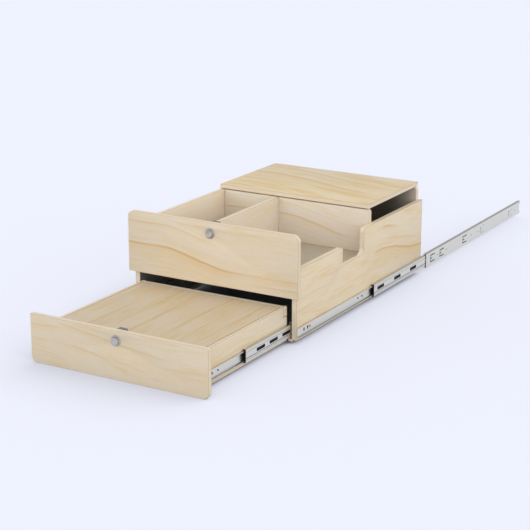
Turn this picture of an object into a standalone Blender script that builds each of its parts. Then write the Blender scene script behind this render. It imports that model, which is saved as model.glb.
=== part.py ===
"""Van rear kitchen drawer: a plywood box on telescopic slides, with a lower drawer on slides of its own.

All sizes are in metres. Places are first drawn in the box's own frame: X to the right from the box's
middle line, Y to the back from the front edges of its side panels, Z up from the side panels' feet. Each
piece then hangs on the empty of the body that it moves with, and the whole stands with its lowest point
at zero height and its outer bounds centred on the Z axis. Both drawers are drawn pulled fully out.
"""
import math

import bmesh
import bpy
from mathutils import Matrix, Vector

# Plywood box
BOX_WIDTH = 0.530
BOX_DEPTH = 0.800
PLY = 0.015
FLOOR_PLY = 0.009
FLOOR_TOP = 0.1315
LEFT_SIDE_HEIGHT = 0.264
RIGHT_FRONT_HEIGHT = 0.200
RIGHT_REAR_HEIGHT = 0.2245
NOTCH_START = 0.2668
NOTCH_LENGTH = 0.132
NOTCH_BOTTOM = 0.1458
NOTCH_FRONT_TOP_BEND = 0.010
NOTCH_FRONT_FOOT_BEND = 0.012
NOTCH_REAR_FOOT_BEND = 0.020
NOTCH_REAR_TOP_BEND = 0.013
CROSS_FRONT = 0.461
CROSS_CORNER = 0.010
LEFT_BAY_SHARE = 0.3578

# Front boards
FRONT_OVERHANG = 0.0116
FRONT_TOP = 0.300
FRONT_SEAM = 0.122
FRONT_GAP = 0.002
LOWER_FRONT_BOTTOM = -0.0142
FRONT_CORNER = 0.018

# Lid over the rear compartment
LID_THICK = 0.0126
LID_NOSE = 0.001
LID_SIDE_GAP = 0.002
LID_CORNER = 0.0015
PAD_WIDTH = 0.008
PAD_THICK = 0.002
PAD_INSET = 0.012

# Hair gap between pieces that touch, and the reach of a cutter past a face
SEAT = 0.0003
OVERRUN = 0.001
MERGE = 0.00001

# Telescopic slides
SLIDE_DEPTH = 0.0124
SHEET = 0.0012
RAIL_BEND = 0.002
INNER_HEIGHT = 0.029
MID_HEIGHT = 0.037
OUTER_HEIGHT = 0.0457
INNER_REACH = 0.0074
MID_WEB_BACK = 0.010
MID_TIP = 0.0016
OUTER_TIP = 0.0019
RAIL_SETBACK = 0.003
STOP_LENGTH = 0.003
STOP_WALL = 0.0022
CAGE_SHEET = 0.0005
CAGE_BEND = 0.001
CAGE_FLANGE = 0.0045
CAGE_GAP = 0.0004
BALL_PLAY = 0.0003
BALLS_PER_ROW = 4
CAGE_END_INSET = 0.008
CAGE_SETBACK = 0.001
MAIN_INNER_CAGE_LENGTH = 0.345
MAIN_OUTER_CAGE_LENGTH = 0.415
LOWER_INNER_CAGE_LENGTH = 0.238
LOWER_OUTER_CAGE_LENGTH = 0.190

MAIN_SLIDE_Z = 0.0225
MAIN_RAIL_LENGTH = 0.800
MAIN_TRAVEL = 0.815
MAIN_MID_FRONT = 0.4524
MAIN_MID_LENGTH = 0.796
LOWER_SLIDE_Z = 0.0256
LOWER_RAIL_LENGTH = 0.450
LOWER_TRAVEL = 0.450
LOWER_MID_SHOWN = 0.237
LOWER_MID_LENGTH = 0.4465

# Screws that hold the rails
SCREW_HEAD_RADIUS = 0.0035
SCREW_HEAD_THICK = 0.0016
SCREW_RADIUS = 0.0019
SCREW_BITE = 0.011
SCREW_CLEAR = 0.0003
HEAD_SINK = 0.0006
MAIN_INNER_SCREW_SHARES = (0.0875, 0.4856, 0.70, 0.95)
LOWER_OUTER_SCREW_SHARES = (0.12, 0.52, 0.90)
LOWER_INNER_SCREW_SHARES = (0.138, 0.62, 0.92)

# Punched holes: where along the rail, how long and how high
ROUND_HOLE = 0.004
TALL_HOLE = 0.009
MID_SLOT = 0.045
MID_SLOT_HEIGHT = 0.010
LOWER_SLOT = 0.044
LOWER_SLOT_HEIGHT = 0.0095
TAB_LENGTH = 0.033
TAB_HEIGHT = 0.024
TAB_CUT = 0.0032
TAB_TONGUE = 0.014
END_NOTCH_DEPTH = 0.008
END_NOTCH_HEIGHT = 0.027
END_NOTCH_BEND = 0.004
MAIN_INNER_TALL_SHARES = (0.0464, 0.0724)
MAIN_INNER_ROUND_SHARES = (0.4536,)
MAIN_MID_SLOT_SHARES = (0.055, 0.199, 0.340)
MAIN_OUTER_ROUND_SHARES = (0.1064, 0.1971, 0.4521, 0.5171, 0.9355)
MAIN_OUTER_TAB_SHARES = (0.0593, 0.149, 0.379, 0.565, 0.8845)
LOWER_MID_SLOT_SHARES = (0.172, 0.323, 0.476)
LOWER_INNER_ROUND_SHARES = (0.20,)

# Battens under the lower slides
BATTEN_HEIGHT = 0.008
BATTEN_DROP = 0.006
BATTEN_WIDTH = 0.011
BATTEN_NOSE = 0.003

# Lower drawer
DRAWER_BOTTOM = -0.003
DRAWER_HEIGHT = 0.099
DRAWER_SHORTFALL = 0.0035
DRAWER_BASE_PLY = 0.009
TABLE_PLY = 0.009
TABLE_LEDGE = 0.005
REAR_PANEL_INSET = 0.003
TABLE_TO_REAR_PANEL = 0.0005
TAB_DEPTH = 0.028
TAB_CORNER = 0.004

# Push locks
LOCK_X = -0.002
UPPER_LOCK_DROP = 0.0305
LOWER_LOCK_DROP = 0.027
LOCK_HOLE_RADIUS = 0.0125
ROSETTE_RADIUS = 0.0148
ROSETTE_THICK = 0.0025
ROSETTE_EDGE = 0.0008
KNOB_RADIUS = 0.011
KNOB_EDGE = 0.0015
KNOB_TRAVEL = 0.004
KNOB_BODY = 0.008
STEM_RADIUS = 0.004
STEM_LENGTH = 0.015
LOCK_CLEAR = 0.0003
HOUSING_WIDTH = 0.026
HOUSING_DEPTH = 0.022
UPPER_HOUSING_ABOVE = 0.0275
LOWER_HOUSING_ABOVE = 0.0245
HOUSING_BELOW = 0.020
HOUSING_CORNER = 0.004
BOLT_WIDTH = 0.016
BOLT_THICK = 0.006
BOLT_SETBACK = 0.005
BOLT_LENGTH = 0.0165
BOLT_NOSE = 0.0015
BOLT_THROW = 0.009
POCKET_CLEAR = 0.0015
LOCK_SCREW_RADIUS = 0.0013
LOCK_SCREW_HEAD = 0.0025
LOCK_SCREW_HEAD_THICK = 0.0014
LOCK_SCREW_BITE = 0.009
LOCK_SCREW_LOW = (0.0095, -0.0155)
LOCK_SCREW_HIGH = (0.0106, 0.0165)

# Lid hinges
HINGE_INSET = 0.105
HINGE_LENGTH = 0.050
HINGE_SHEET = 0.0012
KNUCKLE_RADIUS = 0.003
KNUCKLE_BORE = 0.0015
PIN_RADIUS = 0.0012
MIDDLE_KNUCKLE = 0.018
LID_LEAF_HEIGHT = 0.0095
BACK_LEAF_HEIGHT = 0.020
LEAF_SCREW_SPREAD = 0.034
LEAF_SCREW_HEAD = 0.0025
LEAF_SCREW_HEAD_THICK = 0.0012
LEAF_SCREW_RADIUS = 0.0012
LEAF_SCREW_BITE = 0.010

# How finely round shapes are cut
CORNER_STEPS = 4
HOLE_STEPS = 2
SCREW_SIDES = 8
LOCK_SIDES = 28
KNUCKLE_SIDES = 12
SHARP_ANGLE = math.radians(35)

# Places worked out from the sizes above
HALF_WIDTH = BOX_WIDTH / 2
INNER_HALF = HALF_WIDTH - PLY
FRONT_HALF = HALF_WIDTH + FRONT_OVERHANG
SLIDE_GAP = SLIDE_DEPTH + 2 * SEAT
DRAWER_HALF = INNER_HALF - SLIDE_GAP
DRAWER_INNER_HALF = DRAWER_HALF - PLY
DRAWER_TOP = DRAWER_BOTTOM + DRAWER_HEIGHT
LOWER_FRONT_TOP = FRONT_SEAM - FRONT_GAP
FLOOR_BOTTOM = FLOOR_TOP - FLOOR_PLY
CROSS_BACK = CROSS_FRONT + PLY
BACK_PANEL_FRONT = BOX_DEPTH - PLY
DIVIDER_LEFT = -INNER_HALF + LEFT_BAY_SHARE * 2 * INNER_HALF
DIVIDER_RIGHT = DIVIDER_LEFT + PLY
LID_BOTTOM = LEFT_SIDE_HEIGHT + PAD_THICK + 2 * SEAT
LID_TOP = LID_BOTTOM + LID_THICK
LID_FRONT = CROSS_FRONT - LID_NOSE
MAIN_OUTER_FRONT = MAIN_TRAVEL + SEAT
LOWER_OUT = -LOWER_TRAVEL
UPPER_LOCK_Z = FRONT_TOP - UPPER_LOCK_DROP
LOWER_LOCK_Z = LOWER_FRONT_TOP - LOWER_LOCK_DROP
HINGE_X = HALF_WIDTH - HINGE_INSET
HINGE_Y = BOX_DEPTH + SEAT + KNUCKLE_RADIUS
HINGE_Z = (LEFT_SIDE_HEIGHT + LID_BOTTOM) / 2
FRONTMOST = LOWER_OUT - PLY - ROSETTE_THICK - SEAT - KNOB_TRAVEL
REARMOST = MAIN_OUTER_FRONT + MAIN_RAIL_LENGTH
ORIGIN = Vector((0, (FRONTMOST + REARMOST) / 2, LOWER_FRONT_BOTTOM))

SIDES = {"left": -1, "right": 1}

# Each body's reference point, on its joint's axis, in the box's frame
BODY_PLACES = {
    "van_rails": Vector((0, MAIN_OUTER_FRONT, MAIN_SLIDE_Z)),
    "main_outer_cages": Vector((0, MAIN_OUTER_FRONT, MAIN_SLIDE_Z)),
    "main_mid_rails": Vector((0, MAIN_MID_FRONT, MAIN_SLIDE_Z)),
    "main_inner_cages": Vector((0, MAIN_MID_FRONT, MAIN_SLIDE_Z)),
    "box": Vector((0, 0, MAIN_SLIDE_Z)),
    "lid": Vector((0, HINGE_Y, HINGE_Z)),
    "upper_knob": Vector((LOCK_X, 0, UPPER_LOCK_Z)),
    "upper_bolt": Vector((LOCK_X, BOLT_SETBACK + BOLT_THICK / 2, UPPER_LOCK_Z)),
    "lower_outer_cages": Vector((0, 0, LOWER_SLIDE_Z)),
    "lower_mid_rails": Vector((0, -LOWER_MID_SHOWN, LOWER_SLIDE_Z)),
    "lower_inner_cages": Vector((0, -LOWER_MID_SHOWN, LOWER_SLIDE_Z)),
    "lower_drawer": Vector((0, LOWER_OUT, LOWER_SLIDE_Z)),
    "lower_knob": Vector((LOCK_X, LOWER_OUT, LOWER_LOCK_Z)),
    "lower_bolt": Vector((LOCK_X, LOWER_OUT + BOLT_SETBACK + BOLT_THICK / 2, LOWER_LOCK_Z)),
}

# Colour, roughness and metallic value of each material
FINISHES = {
    "birch_ply": ((0.66, 0.55, 0.38), 0.55, 0.0),
    "zinc_steel": ((0.62, 0.62, 0.61), 0.38, 1.0),
    "screw_steel": ((0.55, 0.55, 0.56), 0.35, 1.0),
    "satin_nickel": ((0.58, 0.56, 0.53), 0.30, 1.0),
    "dark_housing": ((0.12, 0.11, 0.10), 0.50, 0.0),
    "black_plastic": ((0.03, 0.03, 0.03), 0.50, 0.0),
    "grey_felt": ((0.30, 0.28, 0.25), 0.95, 0.0),
}


def clear_scene():
    """Remove the objects that a new file comes with."""
    for item in list(bpy.data.objects):
        bpy.data.objects.remove(item)


def make_materials():
    """One Principled material for each finish."""
    made = {}
    for name, (colour, roughness, metallic) in FINISHES.items():
        material = bpy.data.materials.new(name)
        material.use_nodes = True
        shader = material.node_tree.nodes["Principled BSDF"]
        shader.inputs["Base Color"].default_value = (*colour, 1)
        shader.inputs["Roughness"].default_value = roughness
        shader.inputs["Metallic"].default_value = metallic
        made[name] = material
    return made


def make_bodies():
    """An empty on each body's joint axis, for its pieces to hang on."""
    made = {}
    for name, place in BODY_PLACES.items():
        empty = bpy.data.objects.new(name + "_joint", None)
        empty.location = place - ORIGIN
        bpy.context.collection.objects.link(empty)
        made[name] = empty
    return made


def rounded(corners, steps=CORNER_STEPS):
    """Outline with rounded corners, from corners written as (across, up, radius)."""
    outline = []
    for index, (across_at, up_at, radius) in enumerate(corners):
        here = Vector((across_at, up_at))
        if radius <= 0:
            outline.append(here)
            continue
        before = (Vector(corners[index - 1][:2]) - here).normalized()
        after = (Vector(corners[(index + 1) % len(corners)][:2]) - here).normalized()
        half_angle = before.angle(after) / 2
        centre = here + (before + after).normalized() * (radius / math.sin(half_angle))
        reach = radius / math.tan(half_angle)
        first = here + before * reach - centre
        last = here + after * reach - centre
        start = math.atan2(first.y, first.x)
        sweep = math.atan2(last.y, last.x) - start
        sweep = (sweep + math.pi) % (2 * math.pi) - math.pi
        for step in range(steps + 1):
            angle = start + sweep * step / steps
            outline.append(centre + radius * Vector((math.cos(angle), math.sin(angle))))
    return outline


def rectangle(low_across, high_across, low_up, high_up):
    """Outline of a plain rectangle."""
    return [Vector((low_across, low_up)), Vector((high_across, low_up)),
            Vector((high_across, high_up)), Vector((low_across, high_up))]


def on_axis(axis, point, level):
    """3-D place of an outline's point, at a level along the named axis."""
    if axis == "x":
        return Vector((level, point[0], point[1]))
    if axis == "y":
        return Vector((point[0], level, point[1]))
    return Vector((point[0], point[1], level))


def prism(outline, axis, low, high):
    """Solid made by extruding an outline along an axis from low to high."""
    bm = bmesh.new()
    corners = [bm.verts.new(on_axis(axis, point, low)) for point in outline]
    foot = bm.faces.new(corners)
    grown = bmesh.ops.extrude_face_region(bm, geom=[foot])
    top = [item for item in grown["geom"] if isinstance(item, bmesh.types.BMVert)]
    bmesh.ops.translate(bm, verts=top, vec=on_axis(axis, (0, 0), high - low))
    bmesh.ops.recalc_face_normals(bm, faces=bm.faces)
    return bm


def board(x_range, y_range, z_range):
    """Plain rectangular board between the given limits."""
    return prism(rectangle(*x_range, *z_range), "y", *y_range)


def turned(profile, centre, direction, sides, ring=False):
    """Solid of revolution from points (radius, along), standing at centre and pointing in a direction."""
    bm = bmesh.new()
    points = [bm.verts.new((radius, 0, along)) for radius, along in profile]
    lines = [bm.edges.new(pair) for pair in zip(points, points[1:])]
    if ring:
        lines.append(bm.edges.new((points[-1], points[0])))
    bmesh.ops.spin(bm, geom=points + lines, cent=(0, 0, 0), axis=(0, 0, 1),
                   angle=2 * math.pi, steps=sides, use_merge=True)
    bmesh.ops.remove_doubles(bm, verts=bm.verts, dist=MERGE)
    bmesh.ops.recalc_face_normals(bm, faces=bm.faces)
    turn = Vector((0, 0, 1)).rotation_difference(Vector(direction)).to_matrix().to_4x4()
    bmesh.ops.transform(bm, matrix=Matrix.Translation(centre) @ turn, verts=bm.verts)
    return bm


def rod(centre, direction, radius, length, sides):
    """Plain round bar that starts at centre."""
    return turned([(0, 0), (radius, 0), (radius, length), (0, length)], centre, direction, sides)


def joined(parts):
    """One bmesh that holds several separate solids."""
    whole = bmesh.new()
    for part in parts:
        scratch = bpy.data.meshes.new("scratch")
        part.to_mesh(scratch)
        part.free()
        whole.from_mesh(scratch)
        bpy.data.meshes.remove(scratch)
    return whole


def hang(name, body, bm):
    """Object with the given mesh, drawn in the box's frame, hung on its body's empty."""
    bmesh.ops.translate(bm, verts=bm.verts, vec=-BODY_PLACES[body])
    mesh = bpy.data.meshes.new(name)
    bm.to_mesh(mesh)
    bm.free()
    shape = bpy.data.objects.new(name, mesh)
    shape.parent = BODIES[body]
    bpy.context.collection.objects.link(shape)
    return shape


def boolean(shape, name, body, bm, operation):
    """Cut a solid out of a shape, or join it to the shape, with a hidden guide object."""
    guide = hang(name, body, bm)
    guide.hide_render = True
    guide.display_type = "WIRE"
    modifier = shape.modifiers.new(name, "BOOLEAN")
    modifier.operation = operation
    modifier.solver = "EXACT"
    modifier.object = guide


def piece(name, body, bm, material, cuts=(), unions=(), smooth=False):
    """One named piece of the object: its body, mesh and material, then what joins it and what cuts it."""
    shape = hang(name, body, bm)
    shape.data.materials.append(MATERIALS[material])
    for index, added in enumerate(unions):
        boolean(shape, f"{name}_union_{index}", body, added, "UNION")
    for index, cutter in enumerate(cuts):
        boolean(shape, f"{name}_cut_{index}", body, cutter, "DIFFERENCE")
    if smooth:
        shape.data.shade_smooth()
        shape.data.set_sharp_from_angle(angle=SHARP_ANGLE)
    return shape


def screw(place, direction, head_radius, head_thick, radius, bite, standoff):
    """Pan-head screw that enters the wood at place; standoff is the metal that it clamps there."""
    head_foot = -standoff + HEAD_SINK
    head_top = -standoff - head_thick
    profile = [(0, head_top), (head_radius - head_thick / 2, head_top),
               (head_radius, head_top + head_thick / 2), (head_radius, head_foot),
               (radius, head_foot), (radius, bite), (0, bite + radius)]
    return turned(profile, place, direction, SCREW_SIDES)


def screw_bore(place, direction, radius, bite):
    """Cutter for a screw's shank in the wood, with its clearance all round."""
    start = Vector(place) - Vector(direction) * OVERRUN
    length = OVERRUN + bite + radius + SCREW_CLEAR
    return rod(start, direction, radius + SCREW_CLEAR, length, SCREW_SIDES)


def across(side, face, depth):
    """X of a point that lies at a depth out from the wood that a slide's inner rail is screwed to."""
    return side * (face + SEAT + depth)


def channel(back, tip, half_height, sheet, bend):
    """C-shaped section, as (depth, height): the web's outer face is at back, both flanges reach to tip."""
    toward = math.copysign(1, tip - back)
    inside = back + toward * sheet
    inner_half = half_height - sheet
    inner_bend = bend - sheet
    return rounded([
        (tip, half_height, 0), (back, half_height, bend), (back, -half_height, bend), (tip, -half_height, 0),
        (tip, -inner_half, 0), (inside, -inner_half, inner_bend), (inside, inner_half, inner_bend),
        (tip, inner_half, 0)], HOLE_STEPS)


def strip(side, face, height_mid, section, front, length):
    """Rail or cage strip: a section carried along Y on one side of the box."""
    outline = [Vector((across(side, face, depth), height_mid + height)) for depth, height in section]
    return prism(outline, "y", front, front + length)


def punched(side, face, web, along, height_mid, length, height):
    """Cutter for a round-ended hole through a rail's web."""
    bend = min(length, height) / 2 - MERGE
    low, high = along - length / 2, along + length / 2
    foot, head = height_mid - height / 2, height_mid + height / 2
    outline = rounded([(low, foot, bend), (high, foot, bend), (high, head, bend), (low, head, bend)],
                      HOLE_STEPS)
    ends = sorted(across(side, face, depth) for depth in (web[0] - OVERRUN / 2, web[1] + OVERRUN / 2))
    return prism(outline, "x", *ends)


def punched_tab(side, face, web, along, height_mid):
    """Cutter for the E-shaped slot round two small tongues of a rail's web."""
    low, high = along - TAB_LENGTH / 2, along + TAB_LENGTH / 2
    spine, middle = low + TAB_CUT, low + TAB_TONGUE
    edge, inside, half_cut = TAB_HEIGHT / 2, TAB_HEIGHT / 2 - TAB_CUT, TAB_CUT / 2
    corners = [(low, -edge), (high, -edge), (high, -inside), (spine, -inside), (spine, -half_cut),
               (middle, -half_cut), (middle, half_cut), (spine, half_cut), (spine, inside), (high, inside),
               (high, edge), (low, edge)]
    outline = [Vector((along_at, height_mid + height)) for along_at, height in corners]
    ends = sorted(across(side, face, depth) for depth in (web[0] - OVERRUN / 2, web[1] + OVERRUN / 2))
    return prism(outline, "x", *ends)


def end_notch(side, face, web, end, height_mid):
    """Cutter for the shallow notch in the rear end of a rail's web."""
    half = END_NOTCH_HEIGHT / 2
    start = end - END_NOTCH_DEPTH
    outline = rounded([(start, height_mid - half, END_NOTCH_BEND), (end + OVERRUN, height_mid - half, 0),
                       (end + OVERRUN, height_mid + half, 0), (start, height_mid + half, END_NOTCH_BEND)])
    ends = sorted(across(side, face, depth) for depth in (web[0] - OVERRUN / 2, web[1] + OVERRUN / 2))
    return prism(outline, "x", *ends)


INNER_WEB = (0, SHEET)
MID_WEB = (MID_WEB_BACK - SHEET, MID_WEB_BACK)
OUTER_WEB = (SLIDE_DEPTH - SHEET, SLIDE_DEPTH)
INNER_SECTION = (0, INNER_REACH, INNER_HEIGHT / 2)
MID_SECTION = (MID_WEB_BACK, MID_TIP, MID_HEIGHT / 2)
OUTER_SECTION = (SLIDE_DEPTH, OUTER_TIP, OUTER_HEIGHT / 2)


def rail(name, body, side, face, height_mid, section, front, length, holes, screws=(), extra_cuts=()):
    """Steel rail with its punched holes and screws; holes are (web, share along, length, height)."""
    back, tip, half_height = section
    shape = channel(back, tip, half_height, SHEET, RAIL_BEND)
    cutters = [punched(side, face, web, front + share * length, height_mid, hole_length, hole_height)
               for web, share, hole_length, hole_height in holes]
    cutters.extend(extra_cuts)
    piece(name, body, strip(side, face, height_mid, shape, front, length), "zinc_steel",
          unions=[joined(screws)] if screws else [], cuts=[joined(cutters)] if cutters else [])


def round_holes(web, shares, size):
    """Round holes of one size at the given shares of a rail's length."""
    return [(web, share, size, size) for share in shares]


def main_inner_screw_places(side):
    """Where the main inner rail's screws enter the side panel."""
    length = BOX_DEPTH - RAIL_SETBACK
    return [(side * HALF_WIDTH, RAIL_SETBACK + share * length, MAIN_SLIDE_Z)
            for share in MAIN_INNER_SCREW_SHARES]


def lower_outer_screw_places(side):
    """Where the lower outer rail's screws enter the side panel's inner face."""
    length = LOWER_RAIL_LENGTH - RAIL_SETBACK
    return [(side * INNER_HALF, RAIL_SETBACK + share * length, LOWER_SLIDE_Z)
            for share in LOWER_OUTER_SCREW_SHARES]


def lower_inner_screw_places(side):
    """Where the lower inner rail's screws enter the drawer side."""
    length = LOWER_TRAVEL - SEAT
    return [(side * DRAWER_HALF, LOWER_OUT + SEAT + share * length, LOWER_SLIDE_Z)
            for share in LOWER_INNER_SCREW_SHARES]


def rail_screws(places, direction):
    """Screws whose pan heads stand on a rail's web, and whose shanks go on into the wood."""
    return [screw(place, direction, SCREW_HEAD_RADIUS, SCREW_HEAD_THICK, SCREW_RADIUS, SCREW_BITE,
                  SEAT + SHEET) for place in places]


def rail_shanks(places, direction):
    """Shanks of countersunk screws, whose heads lie flush in a rail's web."""
    start = SEAT + SHEET / 2
    return [rod(Vector(place) - start * Vector(direction), direction, SCREW_RADIUS, start + SCREW_BITE,
                SCREW_SIDES) for place in places]


def rail_bores(places, direction):
    """Cutters for the shanks of rail screws in the wood behind the rail."""
    return [screw_bore(place, direction, SCREW_RADIUS, SCREW_BITE) for place in places]


def main_slides():
    """The three rails of the two long slides."""
    for label, side in SIDES.items():
        tabs = [punched_tab(side, HALF_WIDTH, OUTER_WEB, MAIN_OUTER_FRONT + share * MAIN_RAIL_LENGTH,
                            MAIN_SLIDE_Z) for share in MAIN_OUTER_TAB_SHARES]
        rail(f"main_outer_rail_{label}", "van_rails", side, HALF_WIDTH, MAIN_SLIDE_Z, OUTER_SECTION,
             MAIN_OUTER_FRONT, MAIN_RAIL_LENGTH,
             round_holes(OUTER_WEB, MAIN_OUTER_ROUND_SHARES, ROUND_HOLE), extra_cuts=[
                 *tabs, end_notch(side, HALF_WIDTH, OUTER_WEB, REARMOST, MAIN_SLIDE_Z)])
        rail(f"main_mid_rail_{label}", "main_mid_rails", side, HALF_WIDTH, MAIN_SLIDE_Z, MID_SECTION,
             MAIN_MID_FRONT, MAIN_MID_LENGTH,
             [(MID_WEB, share, MID_SLOT, MID_SLOT_HEIGHT) for share in MAIN_MID_SLOT_SHARES])
        rail(f"main_inner_rail_{label}", "box", side, HALF_WIDTH, MAIN_SLIDE_Z, INNER_SECTION,
             RAIL_SETBACK, BOX_DEPTH - RAIL_SETBACK,
             round_holes(INNER_WEB, MAIN_INNER_ROUND_SHARES, ROUND_HOLE)
             + [(INNER_WEB, share, ROUND_HOLE, TALL_HOLE) for share in MAIN_INNER_TALL_SHARES],
             rail_screws(main_inner_screw_places(side), (-side, 0, 0)))


def lower_slides():
    """The three rails of the two short slides, and the battens under them."""
    for label, side in SIDES.items():
        rail(f"lower_outer_rail_{label}", "box", side, DRAWER_HALF, LOWER_SLIDE_Z, OUTER_SECTION,
             RAIL_SETBACK, LOWER_RAIL_LENGTH - RAIL_SETBACK, [],
             rail_shanks(lower_outer_screw_places(side), (side, 0, 0)))
        rail(f"lower_mid_rail_{label}", "lower_mid_rails", side, DRAWER_HALF, LOWER_SLIDE_Z, MID_SECTION,
             -LOWER_MID_SHOWN, LOWER_MID_LENGTH,
             [(MID_WEB, share, LOWER_SLOT, LOWER_SLOT_HEIGHT) for share in LOWER_MID_SLOT_SHARES])
        rail(f"lower_inner_rail_{label}", "lower_drawer", side, DRAWER_HALF, LOWER_SLIDE_Z, INNER_SECTION,
             LOWER_OUT + SEAT, LOWER_TRAVEL - SEAT,
             round_holes(INNER_WEB, LOWER_INNER_ROUND_SHARES, ROUND_HOLE),
             rail_screws(lower_inner_screw_places(side), (-side, 0, 0)))
        batten(label, side)


def batten(label, side):
    """Thin wooden batten with a rounded front end, under a lower slide."""
    outer = side * (INNER_HALF - SEAT)
    inner = side * (INNER_HALF - SEAT - BATTEN_WIDTH)
    outline = rounded([(SEAT, -BATTEN_DROP, BATTEN_NOSE),
                       (LOWER_RAIL_LENGTH, -BATTEN_DROP, 0),
                       (LOWER_RAIL_LENGTH, BATTEN_HEIGHT - BATTEN_DROP, 0),
                       (SEAT, BATTEN_HEIGHT - BATTEN_DROP, BATTEN_NOSE)])
    piece(f"slide_batten_{label}", "box", prism(outline, "x", *sorted((outer, inner))), "birch_ply")


def ball_rows(side, face, height_mid, back, gap_low, gap_high, front, length):
    """Two rows of balls between two flanges, each ball held by the cage's flange."""
    radius = (gap_high - gap_low) / 2 - BALL_PLAY
    depth = back - CAGE_FLANGE + radius
    middle = (gap_low + gap_high) / 2
    balls = []
    for row in (-1, 1):
        for index in range(BALLS_PER_ROW):
            along = front + length * (index + 1) / (BALLS_PER_ROW + 1)
            ball = bmesh.new()
            bmesh.ops.create_icosphere(ball, subdivisions=1, radius=radius)
            place = (across(side, face, depth), along, height_mid + row * middle)
            bmesh.ops.translate(ball, verts=ball.verts, vec=place)
            balls.append(ball)
    return balls


def cages(name, body, face, height_mid, back, gap_low, gap_high, front, length):
    """Thin C-shaped cages of one stage with their balls, one on each side of the box."""
    half_height = (gap_low + gap_high + CAGE_SHEET) / 2
    outline = channel(back, back - CAGE_FLANGE, half_height, CAGE_SHEET, CAGE_BEND)
    for label, side in SIDES.items():
        balls = ball_rows(side, face, height_mid, back, gap_low, gap_high, front, length)
        piece(f"{name}_cage_{label}", body, strip(side, face, height_mid, outline, front, length),
              "black_plastic", unions=[joined(balls)])


def ball_cages():
    """The four pairs of ball cages."""
    inner_back = MID_WEB_BACK - SHEET - CAGE_GAP
    outer_back = SLIDE_DEPTH - SHEET - CAGE_GAP
    inner_gap = (INNER_HEIGHT / 2, MID_HEIGHT / 2 - SHEET)
    outer_gap = (MID_HEIGHT / 2, OUTER_HEIGHT / 2 - SHEET)
    cages("main_inner", "main_inner_cages", HALF_WIDTH, MAIN_SLIDE_Z, inner_back, *inner_gap,
          MAIN_MID_FRONT + CAGE_SETBACK, MAIN_INNER_CAGE_LENGTH)
    cages("main_outer", "main_outer_cages", HALF_WIDTH, MAIN_SLIDE_Z, outer_back, *outer_gap,
          MAIN_OUTER_FRONT + CAGE_END_INSET, MAIN_OUTER_CAGE_LENGTH)
    cages("lower_inner", "lower_inner_cages", DRAWER_HALF, LOWER_SLIDE_Z, inner_back, *inner_gap,
          -LOWER_MID_SHOWN + CAGE_SETBACK, LOWER_INNER_CAGE_LENGTH)
    cages("lower_outer", "lower_outer_cages", DRAWER_HALF, LOWER_SLIDE_Z, outer_back, *outer_gap,
          RAIL_SETBACK + CAGE_END_INSET, LOWER_OUTER_CAGE_LENGTH)


def mid_stops(name, body, face, height_mid, front):
    """C-shaped plastic stops on the front ends of a pair of intermediate rails."""
    section = channel(MID_WEB_BACK, MID_TIP, MID_HEIGHT / 2, STOP_WALL, RAIL_BEND)
    for label, side in SIDES.items():
        piece(f"{name}_{label}", body,
              strip(side, face, height_mid, section, front - STOP_LENGTH, STOP_LENGTH - SEAT),
              "black_plastic")


def side_bores(side):
    """Cutter for all the screws that bite into one side panel of the box."""
    return joined(rail_bores(main_inner_screw_places(side), (-side, 0, 0))
                  + rail_bores(lower_outer_screw_places(side), (side, 0, 0)))


def box_sides():
    """Left side panel at full height, right side panel cut low with its notch."""
    left = rectangle(SEAT, BOX_DEPTH, 0, LEFT_SIDE_HEIGHT)
    piece("left_side_panel", "box", prism(left, "x", -HALF_WIDTH, -INNER_HALF), "birch_ply",
          cuts=[side_bores(SIDES["left"])])
    notch_end = NOTCH_START + NOTCH_LENGTH
    right = rounded([(SEAT, 0, 0), (BOX_DEPTH, 0, 0), (BOX_DEPTH, RIGHT_REAR_HEIGHT, 0),
                     (notch_end, RIGHT_REAR_HEIGHT, NOTCH_REAR_TOP_BEND),
                     (notch_end, NOTCH_BOTTOM, NOTCH_REAR_FOOT_BEND),
                     (NOTCH_START, NOTCH_BOTTOM, NOTCH_FRONT_FOOT_BEND),
                     (NOTCH_START, RIGHT_FRONT_HEIGHT, NOTCH_FRONT_TOP_BEND),
                     (SEAT, RIGHT_FRONT_HEIGHT, 0)])
    piece("right_side_panel", "box", prism(right, "x", INNER_HALF, HALF_WIDTH), "birch_ply",
          cuts=[side_bores(SIDES["right"])])


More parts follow.
